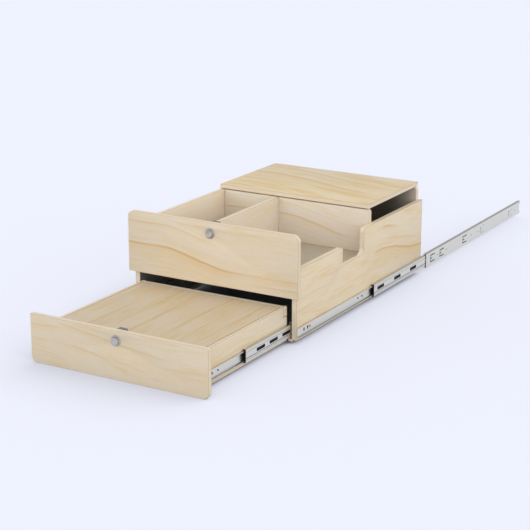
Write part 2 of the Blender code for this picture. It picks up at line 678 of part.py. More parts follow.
def box_inside():
    """Compartment floor, divider, cross panel and back panel."""
    half = INNER_HALF - SEAT
    bolt_back = BOLT_SETBACK + BOLT_THICK + POCKET_CLEAR
    bolt_half = BOLT_WIDTH / 2 + POCKET_CLEAR
    bolt_top = LOWER_LOCK_Z + LOWER_HOUSING_ABOVE + BOLT_THROW + POCKET_CLEAR / 2
    pocket = board((LOCK_X - bolt_half, LOCK_X + bolt_half), (-OVERRUN, bolt_back),
                   (FLOOR_BOTTOM - OVERRUN, bolt_top))
    piece("compartment_floor", "box",
          board((-half, half), (SEAT, BACK_PANEL_FRONT - SEAT), (FLOOR_BOTTOM, FLOOR_TOP)), "birch_ply",
          cuts=[pocket])
    piece("divider", "box",
          board((DIVIDER_LEFT, DIVIDER_RIGHT), (SEAT, CROSS_FRONT - SEAT),
                (FLOOR_TOP + SEAT, LEFT_SIDE_HEIGHT)), "birch_ply")
    cross = rounded([(-half, FLOOR_TOP + SEAT, 0), (half, FLOOR_TOP + SEAT, 0),
                     (half, LEFT_SIDE_HEIGHT, CROSS_CORNER), (-half, LEFT_SIDE_HEIGHT, 0)])
    piece("cross_panel", "box", prism(cross, "y", CROSS_FRONT, CROSS_BACK), "birch_ply")
    back = rounded([(-half, 0, 0), (half, 0, 0), (half, LEFT_SIDE_HEIGHT, CROSS_CORNER),
                    (-half, LEFT_SIDE_HEIGHT, 0)])
    piece("back_panel", "box", prism(back, "y", BACK_PANEL_FRONT, BOX_DEPTH), "birch_ply",
          cuts=[leaf_bores(back_leaf_screw_height())])


def front_cuts(front, lock_z):
    """Cutter for a front board's lock hole and lock screws, front being the board's outer face."""
    hole = rod((LOCK_X, front - OVERRUN, lock_z), (0, 1, 0), LOCK_HOLE_RADIUS, PLY + 2 * OVERRUN, LOCK_SIDES)
    bores = [screw_bore(place, (0, -1, 0), LOCK_SCREW_RADIUS, LOCK_SCREW_BITE)
             for place in lock_screw_places(front + PLY, lock_z)]
    return joined([hole] + bores)


def upper_front():
    """Front board of the box, round at its top corners."""
    outline = rounded([(-FRONT_HALF, FRONT_SEAM, 0), (FRONT_HALF, FRONT_SEAM, 0),
                       (FRONT_HALF, FRONT_TOP, FRONT_CORNER), (-FRONT_HALF, FRONT_TOP, FRONT_CORNER)])
    piece("upper_front", "box", prism(outline, "y", -PLY, 0), "birch_ply",
          cuts=[front_cuts(-PLY, UPPER_LOCK_Z)])


def lower_front():
    """Front board of the lower drawer, round at its bottom corners."""
    outline = rounded([(-FRONT_HALF, LOWER_FRONT_BOTTOM, FRONT_CORNER),
                       (FRONT_HALF, LOWER_FRONT_BOTTOM, FRONT_CORNER),
                       (FRONT_HALF, LOWER_FRONT_TOP, 0), (-FRONT_HALF, LOWER_FRONT_TOP, 0)])
    piece("lower_front", "lower_drawer", prism(outline, "y", LOWER_OUT - PLY, LOWER_OUT), "birch_ply",
          cuts=[front_cuts(LOWER_OUT - PLY, LOWER_LOCK_Z)])


def drawer_box():
    """Sides, rear panel, table panel and bottom panel of the lower drawer."""
    front = LOWER_OUT + SEAT
    side_rear = -DRAWER_SHORTFALL
    rear_panel_back = side_rear - REAR_PANEL_INSET
    rear_panel_front = rear_panel_back - PLY
    table_half = DRAWER_INNER_HALF + TABLE_LEDGE
    ledge_z = DRAWER_TOP - TABLE_PLY - SEAT
    tab_z = DRAWER_TOP - TAB_DEPTH
    for label, side in SIDES.items():
        outer = side * DRAWER_HALF
        inner = side * DRAWER_INNER_HALF
        ledge = side * (table_half + SEAT)
        section = [Vector((outer, DRAWER_BOTTOM)), Vector((outer, DRAWER_TOP)), Vector((ledge, DRAWER_TOP)),
                   Vector((ledge, ledge_z)), Vector((inner, ledge_z)), Vector((inner, DRAWER_BOTTOM))]
        slot = board(sorted((outer + side * OVERRUN, inner - side * OVERRUN)),
                     (rear_panel_front - SEAT, rear_panel_back + SEAT),
                     (tab_z - SEAT, DRAWER_TOP + OVERRUN))
        bores = joined(rail_bores(lower_inner_screw_places(side), (-side, 0, 0)))
        piece(f"drawer_side_{label}", "lower_drawer", prism(section, "y", front, side_rear), "birch_ply",
              cuts=[slot, bores])
    low_half = DRAWER_INNER_HALF - SEAT
    rear = rounded([(-low_half, DRAWER_BOTTOM, 0), (low_half, DRAWER_BOTTOM, 0), (low_half, tab_z, 0),
                    (DRAWER_HALF, tab_z, TAB_CORNER), (DRAWER_HALF, DRAWER_TOP, 0),
                    (-DRAWER_HALF, DRAWER_TOP, 0), (-DRAWER_HALF, tab_z, TAB_CORNER),
                    (-low_half, tab_z, 0)])
    piece("drawer_rear_panel", "lower_drawer", prism(rear, "y", rear_panel_front, rear_panel_back),
          "birch_ply")
    table_back = rear_panel_front - TABLE_TO_REAR_PANEL
    notch = board((LOCK_X - HOUSING_WIDTH / 2 - POCKET_CLEAR, LOCK_X + HOUSING_WIDTH / 2 + POCKET_CLEAR),
                  (front - OVERRUN, LOWER_OUT + HOUSING_DEPTH + 2 * POCKET_CLEAR),
                  (DRAWER_TOP - TABLE_PLY - OVERRUN, DRAWER_TOP + OVERRUN))
    piece("table_panel", "lower_drawer",
          board((-table_half, table_half), (front, table_back), (DRAWER_TOP - TABLE_PLY, DRAWER_TOP)),
          "birch_ply", cuts=[notch])
    piece("drawer_bottom", "lower_drawer",
          board((-low_half, low_half), (front, rear_panel_front - SEAT),
                (DRAWER_BOTTOM, DRAWER_BOTTOM + DRAWER_BASE_PLY)), "birch_ply")


def lock_screw_places(back, lock_z):
    """Where a lock's four screws enter the board behind the housing's front face."""
    places = []
    for offset, height in (LOCK_SCREW_LOW, LOCK_SCREW_HIGH):
        for side in SIDES.values():
            places.append((LOCK_X + side * offset, back, lock_z + height))
    return places


def housing(name, body, back, lock_z, high):
    """Lock housing behind a front board, with its stem bore, its bolt channel and four screws."""
    low = lock_z - HOUSING_BELOW
    outline = rounded([(LOCK_X - HOUSING_WIDTH / 2, low, 0), (LOCK_X + HOUSING_WIDTH / 2, low, 0),
                       (LOCK_X + HOUSING_WIDTH / 2, high, HOUSING_CORNER),
                       (LOCK_X - HOUSING_WIDTH / 2, high, HOUSING_CORNER)])
    bore = rod((LOCK_X, back - OVERRUN, lock_z), (0, 1, 0), STEM_RADIUS + LOCK_CLEAR,
               HOUSING_DEPTH + 2 * OVERRUN, SCREW_SIDES * 2)
    half = BOLT_WIDTH / 2 + LOCK_CLEAR
    bolt_front = back + BOLT_SETBACK - LOCK_CLEAR
    bolt_way = board((LOCK_X - half, LOCK_X + half),
                     (bolt_front, bolt_front + BOLT_THICK + 2 * LOCK_CLEAR),
                     (high - BOLT_LENGTH - LOCK_CLEAR, high + OVERRUN))
    screws = [screw(place, (0, -1, 0), LOCK_SCREW_HEAD, LOCK_SCREW_HEAD_THICK, LOCK_SCREW_RADIUS,
                    LOCK_SCREW_BITE, HOUSING_DEPTH) for place in lock_screw_places(back, lock_z)]
    piece(name, body, prism(outline, "y", back + SEAT, back + HOUSING_DEPTH), "dark_housing",
          unions=[joined(screws)], cuts=[joined([bore, bolt_way])])


def rosette(name, body, front, lock_z):
    """Ring on the front board's face, with a sleeve that lines the lock hole."""
    face = -ROSETTE_THICK - SEAT
    inner = KNOB_RADIUS + LOCK_CLEAR
    sleeve = LOCK_HOLE_RADIUS - LOCK_CLEAR
    profile = [(inner, face), (ROSETTE_RADIUS - ROSETTE_EDGE, face), (ROSETTE_RADIUS, face + ROSETTE_EDGE),
               (ROSETTE_RADIUS, -SEAT), (sleeve, -SEAT), (sleeve, PLY - SEAT), (inner, PLY - SEAT)]
    piece(name, body, turned(profile, (LOCK_X, front, lock_z), (0, 1, 0), LOCK_SIDES, ring=True),
          "satin_nickel", smooth=True)


def knob(name, body, front, lock_z):
    """Round push knob with its stem: its travel brings it from standing proud to flush with its rosette."""
    face = -ROSETTE_THICK - SEAT - KNOB_TRAVEL
    foot = face + KNOB_BODY
    profile = [(0, face), (KNOB_RADIUS - KNOB_EDGE, face), (KNOB_RADIUS, face + KNOB_EDGE),
               (KNOB_RADIUS, foot), (STEM_RADIUS, foot), (STEM_RADIUS, foot + STEM_LENGTH),
               (0, foot + STEM_LENGTH)]
    piece(name, body, turned(profile, (LOCK_X, front, lock_z), (0, 1, 0), LOCK_SIDES),
          "satin_nickel", smooth=True)


def bolt(name, body, back, head):
    """Flat latch bolt in the housing's channel, drawn in."""
    foot = head - BOLT_LENGTH
    half = BOLT_WIDTH / 2
    outline = rounded([(LOCK_X - half, foot, 0), (LOCK_X + half, foot, 0), (LOCK_X + half, head, BOLT_NOSE),
                       (LOCK_X - half, head, BOLT_NOSE)], HOLE_STEPS)
    start = back + BOLT_SETBACK
    piece(name, body, prism(outline, "y", start, start + BOLT_THICK), "satin_nickel")


def lock(label, body, front, lock_z, above):
    """One whole push lock on a front board whose outer face is at front."""
    back, high = front + PLY, lock_z + above
    rosette(f"{label}_rosette", body, front, lock_z)
    housing(f"{label}_lock_housing", body, back, lock_z, high)
    knob(f"{label}_knob", f"{label}_knob", front, lock_z)
    bolt(f"{label}_bolt", f"{label}_bolt", back, high)


def back_leaf_screw_height():
    """Height of the screws in the back panel's hinge leaves."""
    return HINGE_Z - KNUCKLE_RADIUS - BACK_LEAF_HEIGHT / 2


def lid_leaf_screw_height():
    """Height of the screws in the lid's hinge leaves."""
    return LID_BOTTOM + LID_THICK / 2


def leaf_screw_places(height, hinges=tuple(SIDES.values())):
    """Where the hinge screws enter the wood's rear face, at one height."""
    return [(hinge * HINGE_X + end * LEAF_SCREW_SPREAD / 2, BOX_DEPTH, height)
            for hinge in hinges for end in SIDES.values()]


def leaf_bores(height):
    """Cutter for the hinge screws in the wood's rear edge or face."""
    return joined([screw_bore(place, (0, -1, 0), LEAF_SCREW_RADIUS, LEAF_SCREW_BITE)
                   for place in leaf_screw_places(height)])


def leaf_plate(x_low, x_high, z_low, z_high):
    """Flat hinge plate against the rear face of the wood."""
    return board((x_low, x_high), (BOX_DEPTH + SEAT, BOX_DEPTH + SEAT + HINGE_SHEET), (z_low, z_high))


def hinge_leaf(name, body, side, screw_height, plate_z, knuckles):
    """One leaf with its knuckles and screws; knuckles are (low, high) from the hinge's middle."""
    near, far = plate_z
    middle = side * HINGE_X
    tongues, rounds, bores = [], [], []
    for low, high in knuckles:
        foot, head = sorted((HINGE_Z, near + math.copysign(HINGE_SHEET, far - near)))
        tongues.append(leaf_plate(middle + low, middle + high, foot, head))
        rounds.append(rod((middle + low, HINGE_Y, HINGE_Z), (1, 0, 0), KNUCKLE_RADIUS, high - low,
                          KNUCKLE_SIDES))
        bores.append(rod((middle + low - OVERRUN, HINGE_Y, HINGE_Z), (1, 0, 0), KNUCKLE_BORE,
                         high - low + 2 * OVERRUN, KNUCKLE_SIDES))
    screws = [screw(place, (0, -1, 0), LEAF_SCREW_HEAD, LEAF_SCREW_HEAD_THICK, LEAF_SCREW_RADIUS,
                    LEAF_SCREW_BITE, SEAT + HINGE_SHEET)
              for place in leaf_screw_places(screw_height, (side,))]
    plate = leaf_plate(middle - HINGE_LENGTH / 2, middle + HINGE_LENGTH / 2, *sorted((near, far)))
    piece(name, body, plate, "zinc_steel", unions=[joined(tongues), joined(rounds), joined(screws)],
          cuts=[joined(bores)])


def hinges():
    """Two butt hinges between the back panel's rear face and the lid's rear edge."""
    end, inside = HINGE_LENGTH / 2, MIDDLE_KNUCKLE / 2
    near = KNUCKLE_RADIUS + 2 * SEAT
    for label, side in SIDES.items():
        hinge_leaf(f"lid_hinge_leaf_{label}", "lid", side, lid_leaf_screw_height(),
                   (HINGE_Z + near, LID_BOTTOM + LID_LEAF_HEIGHT), [(-inside, inside)])
        hinge_leaf(f"back_hinge_leaf_{label}", "box", side, back_leaf_screw_height(),
                   (HINGE_Z - near, HINGE_Z - near - BACK_LEAF_HEIGHT),
                   [(-end, -inside - SEAT), (inside + SEAT, end)])
        piece(f"hinge_pin_{label}", "box",
              rod((side * HINGE_X - end, HINGE_Y, HINGE_Z), (1, 0, 0), PIN_RADIUS, HINGE_LENGTH,
                  SCREW_SIDES), "screw_steel")


def lid():
    """Lid over the rear compartment, and the two strips of felt that it rests on."""
    right = INNER_HALF - LID_SIDE_GAP
    outline = rounded([(-HALF_WIDTH, LID_FRONT, LID_CORNER), (right, LID_FRONT, LID_CORNER),
                       (right, BOX_DEPTH, 0), (-HALF_WIDTH, BOX_DEPTH, 0)])
    piece("lid", "lid", prism(outline, "z", LID_BOTTOM, LID_TOP), "birch_ply",
          cuts=[leaf_bores(lid_leaf_screw_height())])
    half = right - PAD_INSET
    felt = (LEFT_SIDE_HEIGHT + SEAT, LEFT_SIDE_HEIGHT + SEAT + PAD_THICK)
    for label, middle in (("front", CROSS_FRONT + PLY / 2), ("rear", BOX_DEPTH - PLY / 2)):
        piece(f"lid_felt_{label}", "box",
              board((-half, half), (middle - PAD_WIDTH / 2, middle + PAD_WIDTH / 2), felt), "grey_felt")


def build():
    """Model every piece of the kitchen drawer."""
    main_slides()
    lower_slides()
    ball_cages()
    mid_stops("main_mid_stops", "main_mid_rails", HALF_WIDTH, MAIN_SLIDE_Z, MAIN_MID_FRONT)
    mid_stops("lower_mid_stops", "lower_mid_rails", DRAWER_HALF, LOWER_SLIDE_Z, -LOWER_MID_SHOWN)
    box_sides()
    box_inside()
    upper_front()
    lower_front()
    drawer_box()
    lock("upper", "box", -PLY, UPPER_LOCK_Z, UPPER_HOUSING_ABOVE)
    lock("lower", "lower_drawer", LOWER_OUT - PLY, LOWER_LOCK_Z, LOWER_HOUSING_ABOVE)
    lid()
    hinges()
    bpy.context.view_layer.update()


clear_scene()
MATERIALS = make_materials()
BODIES = make_bodies()
build()
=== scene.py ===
"""Looks of a van's rear kitchen drawer: birch plywood boards, steel slides, push locks, hinges and felt.

Each piece is modelled with its place in its mesh, in metres, +Z up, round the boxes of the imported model.
"""
import math
from collections import namedtuple

import bmesh
import bpy
from mathutils import Matrix, Vector


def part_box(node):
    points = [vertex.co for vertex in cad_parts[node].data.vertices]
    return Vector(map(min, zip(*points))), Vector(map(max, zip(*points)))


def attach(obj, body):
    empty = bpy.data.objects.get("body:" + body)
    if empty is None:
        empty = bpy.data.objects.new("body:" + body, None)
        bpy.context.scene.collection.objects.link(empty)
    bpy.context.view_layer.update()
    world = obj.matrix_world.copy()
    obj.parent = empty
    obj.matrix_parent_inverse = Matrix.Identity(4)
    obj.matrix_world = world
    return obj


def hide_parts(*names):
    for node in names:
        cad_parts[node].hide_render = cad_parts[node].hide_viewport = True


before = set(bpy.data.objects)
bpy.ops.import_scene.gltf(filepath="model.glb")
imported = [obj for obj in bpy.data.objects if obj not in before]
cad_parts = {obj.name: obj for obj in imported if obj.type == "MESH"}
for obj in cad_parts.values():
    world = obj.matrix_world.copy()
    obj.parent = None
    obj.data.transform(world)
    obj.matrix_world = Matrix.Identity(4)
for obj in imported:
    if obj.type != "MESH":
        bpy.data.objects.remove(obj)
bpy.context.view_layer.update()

SIDES = {"left": -1, "right": 1}
X, Y, Z = 0, 1, 2

# A finish's place in a piece's list: face, edge and pilot bore of a board, sheared wall of a rail; bore and
# wall are near black as painted shade
FACE, EDGE, SHADED_BORE = 0, 1, 2
SHADED_WALL = 1

# Hair gap between touching pieces, distance within which points are one, and a cutter's overrun
SEAT = 0.0003
MERGE = 0.00001
OVERRUN = 0.001

# Boards
EASE = 0.0006
SEAM = 0.0005
PILOT_RADIUS = 0.0042
PILOT_DEPTH = 0.006
FRONT_CORNER = 0.018
CROSS_CORNER = 0.010
LID_CORNER = 0.0015
TAB_CORNER = 0.004
BATTEN_NOSE = 0.003
PLY_LAYER = 0.00136
LINE_GAP = 0.024
RIM = 0.0011
LOW_FRONT_TOP = 0.200
NOTCH_START = 0.2668
NOTCH_LENGTH = 0.132
NOTCH_BOTTOM = 0.1458
NOTCH_BENDS = {"front_top": 0.010, "front_foot": 0.012, "rear_foot": 0.020, "rear_top": 0.013}
BOLT_THROW = 0.009
POCKET_CLEAR = 0.0015
BOLT_POCKET_DEPTH = 0.0125
TABLE_NOTCH_HALF = 0.0145
TABLE_NOTCH_DEPTH = 0.025
TABLE_LEDGE = 0.0053
TABLE_PLAY = 0.0015
RIM_PLAY = 0.0013
DRAWER_WALL = 0.015
LEDGE_DEPTH = 0.0093
TAB_DEPTH = 0.0283
FELT_EASE = 0.0004

# Back panel: how far its painted shade stops short of its right end, where light comes in, and how far that
# spreads
LIT_END = 0.03
LIT_FADE = 0.07

# Rails: sheet, then each section's depth out from the wood at web and tip, and its height
SHEET = 0.0012
INNER_WEB, INNER_TIP, INNER_HEIGHT = 0.0, 0.0074, 0.029
MID_WEB, MID_TIP, MID_HEIGHT = 0.010, 0.0016, 0.037
OUTER_WEB, OUTER_TIP, OUTER_HEIGHT = 0.0124, 0.0019, 0.0457
WEB_BEND = 0.0024
TRACK_BEND = 0.0052
LIP_BEND = 0.0015
LIP = 0.0024
GROOVE_DEPTH = 0.0005
GROOVE_SLOPE = 0.0002
GROOVES = ((0.0104, 0.0006), (-0.0062, 0.0014), (-0.0112, 0.0006))
STOP_WALL = 0.0022
STOP_EASE = 0.0003
SLIDE_BOARDS = {"main": "right_side_panel", "lower": "drawer_side_right"}

# Holes in the rails; shares are places along a rail, from 0 at its front end to 1 at its rear end
ROUND_HOLE = 0.004
INNER_HOLE = 0.0066
TALL_HOLE = 0.0115
MID_SLOT = 0.045
MID_SLOT_HEIGHT = 0.010
MID_SLOT_LIFT = 0.0015
SLOT_BEND = 0.0035
LOWER_SLOT = 0.044
LOWER_SLOT_HEIGHT = 0.0095
TAB_LENGTH = 0.033
TAB_HEIGHT = 0.024
TAB_CUT = 0.0032
TAB_TONGUE = 0.014
END_NOTCH_DEPTH = 0.008
END_NOTCH_HEIGHT = 0.027
END_NOTCH_BEND = 0.004
MAIN_INNER_TALL_SHARES = (0.0464, 0.0724)
MAIN_INNER_ROUND_SHARES = (0.4536,)
MAIN_INNER_SCREW_SHARES = (0.0875, 0.4856, 0.70, 0.95)
MAIN_MID_SLOT_SHARES = (0.055, 0.199, 0.340)
MAIN_OUTER_ROUND_SHARES = (0.1064, 0.1971, 0.4521, 0.5171, 0.9355)
MAIN_OUTER_TAB_SHARES = (0.0593, 0.149, 0.379, 0.565, 0.8845)
LOWER_OUTER_SCREW_SHARES = (0.12, 0.52, 0.90)
LOWER_MID_SLOT_SHARES = (0.172, 0.323, 0.476)
LOWER_INNER_ROUND_SHARES = (0.20,)
LOWER_INNER_SCREW_SHARES = (0.138, 0.62, 0.92)

# Ball cages
CAGE_SHEET = 0.0006
CAGE_BEND = 0.0012
CAGE_GAP = 0.0004
CAGE_FLANGE = 0.0062
BALL_PLAY = 0.0002
BALLS_PER_ROW = 8

# Screws; the profile's points are shares of the head's radius and rise
PAN_PROFILE = ((0.0, 1.0), (0.35, 0.97), (0.7, 0.78), (0.93, 0.42), (1.0, 0.0))
PAN_RADIUS = 0.0036
PAN_RISE = 0.0018
SHANK_SHARE = 0.6
RECESS_LENGTH = 0.0040
RECESS_WIDTH = 0.0008
RECESS_DEPTH = 0.0010
SMALL_PAN_RADIUS = 0.0025
SMALL_PAN_RISE = 0.0013

# Push locks; a face's points are (radius, depth behind the front)
LOCK_HOLE_RADIUS = 0.0125
ROSETTE_RADIUS = 0.0148
ROSETTE_THICK = 0.0025
ROSETTE_FACE = ((0.0126, 0.0), (0.0136, 0.00015), (0.0144, 0.0006), (ROSETTE_RADIUS, 0.0013))
KNOB_RADIUS = 0.011
KNOB_LENGTH = 0.008
KNOB_FACE = ((0.0, 0.0007), (0.004, 0.000644), (0.0068, 0.00042), (0.0080, 0.000105), (0.0087, 0.0),
             (0.0094, 0.0002), (0.0101, 0.0006), (0.0106, 0.0012), (0.0109, 0.0020), (KNOB_RADIUS, 0.0028))
KNOB_DOT_RADIUS = 0.0013
KNOB_DOT_OFFSET = (-0.0034, 0.0040)
STEM_RADIUS = 0.004
HOUSING_DEPTH = 0.022
HOUSING_CORNER = 0.004
HOUSING_EASE = 0.0008
BOLT_NOSE = 0.0015
BOLT_EASE = 0.0004
LOCK_SCREW_LOW = (0.0095, -0.0155)
LOCK_SCREW_HIGH = (0.0106, 0.0165)

# Hinges
HINGE_LENGTH = 0.050
HINGE_SHEET = 0.0012
KNUCKLE_RADIUS = 0.003
PIN_RADIUS = 0.0012
PIN_TIP_RADIUS = 0.00072
MIDDLE_KNUCKLE = 0.018
LEAF_CORNER = 0.002
LEAF_SCREW_SPREAD = 0.034

# Steps round corners and bends, sides of round pieces, and what counts as sharp, narrow or square
CORNER_STEPS = 10
BEND_STEPS = 5
ROUND_SIDES = 64
SMALL_SIDES = 24
SHARP_ANGLE = math.radians(35)
NARROW = 0.003
SQUARE = 0.99

# Floor; a shadow is (reach, openness at no glow, openness at full glow, lean of the light)
FLOOR_REACH = 30.0
FLOOR_COLOUR = (0.28, 0.29, 0.32)
FLOOR_GLOW = (0.576, 0.586, 0.668)
SHADOWS = ((0.3, -0.60, 0.9, (0.45, 0.35, 0.82)), (2.0, 0.04, 0.22, (0.0, 0.0, 1.0)))

# Painted shadow on the floor under the box: its limits along X and Y, and the openness at no glow and at full
# glow there
BAY_SHADOW_LIMITS = ((-0.300, 0.205), (-0.570, 0.205))
BAY_FADE = 0.01
BAY_SHADOW = (0.34, 0.52)

# World and lamps; a sun is (name, strength, spread, azimuth, elevation), its angles in degrees
BACKDROP_COLOUR = (0.855, 0.871, 0.973)
HORIZON_COLOUR = (1.85, 1.85, 1.85)
ZENITH_COLOUR = (0.40, 0.40, 0.40)
OVERHEAD_COLOUR = (0.36, 0.36, 0.36)
OVERHEAD_FADE = (0.04, 0.30)
SUNS = (("key", 0.34, 90, -28, 28), ("fill", 0.64, 90, 62, 28))

# Camera: its angles in degrees, its lens and sensor in millimetres
CAMERA_PLACE = (2.1946, -4.0359, 1.4079)
CAMERA_HEADING = 30.36
CAMERA_DROP = 16.55
CAMERA_ROLL = 0.115
CAMERA_LENS = 104.543
CAMERA_SENSOR = 36.0


def near_linear(red, green, blue):
    """Linear colour of a colour read off a screen as 0 to 255."""
    return tuple(math.pow(level / 255, 2.2) for level in (red, green, blue))


class Value:
    """What a node gives out; sums and products of it add Math nodes to its material."""

    def __init__(self, tree, socket):
        self.tree = tree
        self.socket = socket

    def math(self, operation, *others):
        """What a Math node makes of the value, and of the others that its operation takes."""
        return node(self.tree, "Math", [self, *others], operation=operation)

    def __add__(self, other):
        return self.math("ADD", other)

    __radd__ = __add__

    def __sub__(self, other):
        return self.math("SUBTRACT", other)

    def __rsub__(self, other):
        return node(self.tree, "Math", [other, self], operation="SUBTRACT")

    def __mul__(self, other):
        return self.math("MULTIPLY", other)

    __rmul__ = __mul__

    def __truediv__(self, other):
        return self.math("DIVIDE", other)

    def __pow__(self, other):
        return self.math("POWER", other)

    def smooth(self, low, high):
        """Rises smoothly from 0 at low to 1 at high."""
        return node(self.tree, "MapRange", {"Value": self, "From Min": low, "From Max": high},
                    interpolation_type="SMOOTHSTEP")

    def ramp(self, low, high):
        """Rises evenly from 0 at low to 1 at high."""
        return node(self.tree, "MapRange", {"Value": self, "From Min": low, "From Max": high})

    def between(self, low, high, low_fade, high_fade):
        """1 between low and high and 0 beyond them; a fade is how far an end spreads to both sides."""
        return (self.smooth(low - low_fade, low + low_fade)
                * (1.0 - self.smooth(high - high_fade, high + high_fade)))


def node(tree, kind, inputs=(), output=0, **settings):
    """Adds a node: its settings first, then its sockets' values or links. Gives one of its outputs."""
    made = tree.nodes.new("ShaderNode" + kind)
    for name, value in settings.items():
        setattr(made, name, value)
    pairs = inputs.items() if isinstance(inputs, dict) else enumerate(inputs)
    for key, value in pairs:
        if isinstance(value, Value):
            tree.links.new(value.socket, made.inputs[key])
        else:
            made.inputs[key].default_value = value
    return Value(tree, made.outputs[output])


def blend(tree, factor, first, second, kind="MIX"):
    """Mixes two colours; a plain colour is a tuple of three."""
    ends = [end if isinstance(end, Value) else (*end, 1) for end in (first, second)]
    return node(tree, "Mix", {0: factor, 6: ends[0], 7: ends[1]}, output=2, data_type="RGBA",
                blend_type=kind)


def object_axes(tree):
    """X, Y and Z of a point of the piece."""
    place = node(tree, "TexCoord", output="Object")
    split = node(tree, "SeparateXYZ", [place])
    return [Value(tree, output) for output in split.socket.node.outputs]


def noise(tree, across, along, depth, scale=1.0, detail=2.0, roughness=0.5):
    """Cloudy value from 0 to 1 at a point given by three values."""
    point = node(tree, "CombineXYZ", [across, along, depth])
    return node(tree, "TexNoise", {"Vector": point, "Scale": scale, "Detail": detail,
                                   "Roughness": roughness})


def cloudy(tree, scale, detail=2.0, roughness=0.5):
    """Cloudy value that is alike in all directions."""
    return noise(tree, *object_axes(tree), scale=scale, detail=detail, roughness=roughness)


def finish(name, metallic=0.0, roughness=0.5, coat=0.0, shine=0.5):
    """New material with its Principled shader's plain values set."""
    material = bpy.data.materials.new(name)
    material.use_nodes = True
    shader = material.node_tree.nodes["Principled BSDF"]
    shader.inputs["Metallic"].default_value = metallic
    shader.inputs["Roughness"].default_value = roughness
    shader.inputs["Coat Weight"].default_value = coat
    shader.inputs["Specular IOR Level"].default_value = shine
    return material, material.node_tree, shader


def drive(tree, shader, socket, value):
    """Feeds a shader's socket from a value."""
    tree.links.new(value.socket, shader.inputs[socket])


def bumpy(tree, shader, height, strength, distance):
    """Gives the surface a fine relief."""
    drive(tree, shader, "Normal", node(tree, "Bump", {"Height": height, "Strength": strength,
                                                      "Distance": distance}, output="Normal"))


CREAM = near_linear(224, 208, 180)
PALE = near_linear(222, 211, 197)
STRAW = near_linear(219, 192, 142)
ORANGE = near_linear(206, 158, 100)
# Grey towards which painted shade fades the wood
PAINTED_SHADE_GREY = near_linear(204, 200, 198)
EDGE_PALE = near_linear(231, 216, 193)
EDGE_TAN = near_linear(206, 183, 148)
EDGE_BROWN = near_linear(176, 148, 112)


# A leaf of veneer: places along its grain, over it, and level with its lines
Leaf = namedtuple("Leaf", "tree along over level seed")


def grained(leaf, place, across, along, offset, **settings):
    """Noise on a leaf of veneer, at a place over it, with a scale across and one along the grain."""
    return noise(leaf.tree, place * across, leaf.along * along, leaf.seed + offset, **settings)


def laid_leaf(tree, along, over, seed, sway, fall, fall_from, fall_to):
    """Leaf of veneer, whose level follows its lines as they wander, ripple and fall over the board."""
    leaf = Leaf(tree, along, over, over, seed)
    wander = (grained(leaf, over, 3.2, 1.5, 0.0) - 0.5) * sway
    ripple = (grained(leaf, over, 14.0, 8.0, 5.0, detail=3.0) - 0.5) * 0.012
    level = over + wander + ripple
    if fall:
        level = level + along.smooth(fall_from, fall_to) * fall
    return leaf._replace(level=level)


def zoned(leaf, wisp, straw, pale):
    """Colour of straw zones with wisps, and of greyed streaks between them."""
    wide = grained(leaf, leaf.level, 18.0, 4.0, 17.0, detail=3.0).smooth(0.40, 0.64)
    streaky = grained(leaf, leaf.level, 380.0, 15.0, 13.0, detail=3.0, roughness=0.65)
    colour = blend(leaf.tree, wisp.smooth(0.30, 0.72) * (0.35 + wide * 1.1) * straw, CREAM, STRAW)
    greyed = streaky.smooth(0.40, 0.62) * (1.0 - wisp.smooth(0.40, 0.60)) * (1.0 - wide * 0.6)
    return blend(leaf.tree, greyed * pale, colour, PALE)


def lined(leaf, colour, ragged, strength):
    """Adds thin ragged lines at even steps, most of them faint."""
    year = leaf.level / LINE_GAP + noise(leaf.tree, leaf.level * 9.0, leaf.seed, 0.0, detail=0.0) * 1.6
    chance = node(leaf.tree, "TexWhiteNoise", {"W": year.math("FLOOR") + leaf.seed}, noise_dimensions="1D")
    presence = grained(leaf, leaf.over, 5.0, 2.6, 29.0).smooth(0.36, 0.62)
    line = year.math("FRACT") ** 8.0 * chance ** 2.0 * presence * ragged * strength
    return blend(leaf.tree, line, colour, ORANGE)


def streaked(leaf, colour, wisp, ragged, streaks, thread):
    """Adds single streaks: a dark line on top of a zone that fades."""
    for height, strength, fade, first, last in streaks:
        offset = height - leaf.level
        patch = noise(leaf.tree, leaf.along * 5.0, height * 60.0, leaf.seed + 23.0).smooth(0.28, 0.50)
        shown = leaf.along.between(first, last, 0.03, 0.06)
        start = offset.smooth(-0.0009, 0.0007) * (0.35 + patch * 0.65) * shown
        zone = (1.0 - offset.ramp(0.0, fade)) ** 1.5 * start * (0.45 + wisp * 0.9)
        colour = blend(leaf.tree, zone * (strength * 1.15), colour, STRAW)
        line = (1.0 - offset.ramp(0.0, thread)) ** 1.3 * start * ragged
        colour = blend(leaf.tree, line * strength, colour, ORANGE)
    return colour


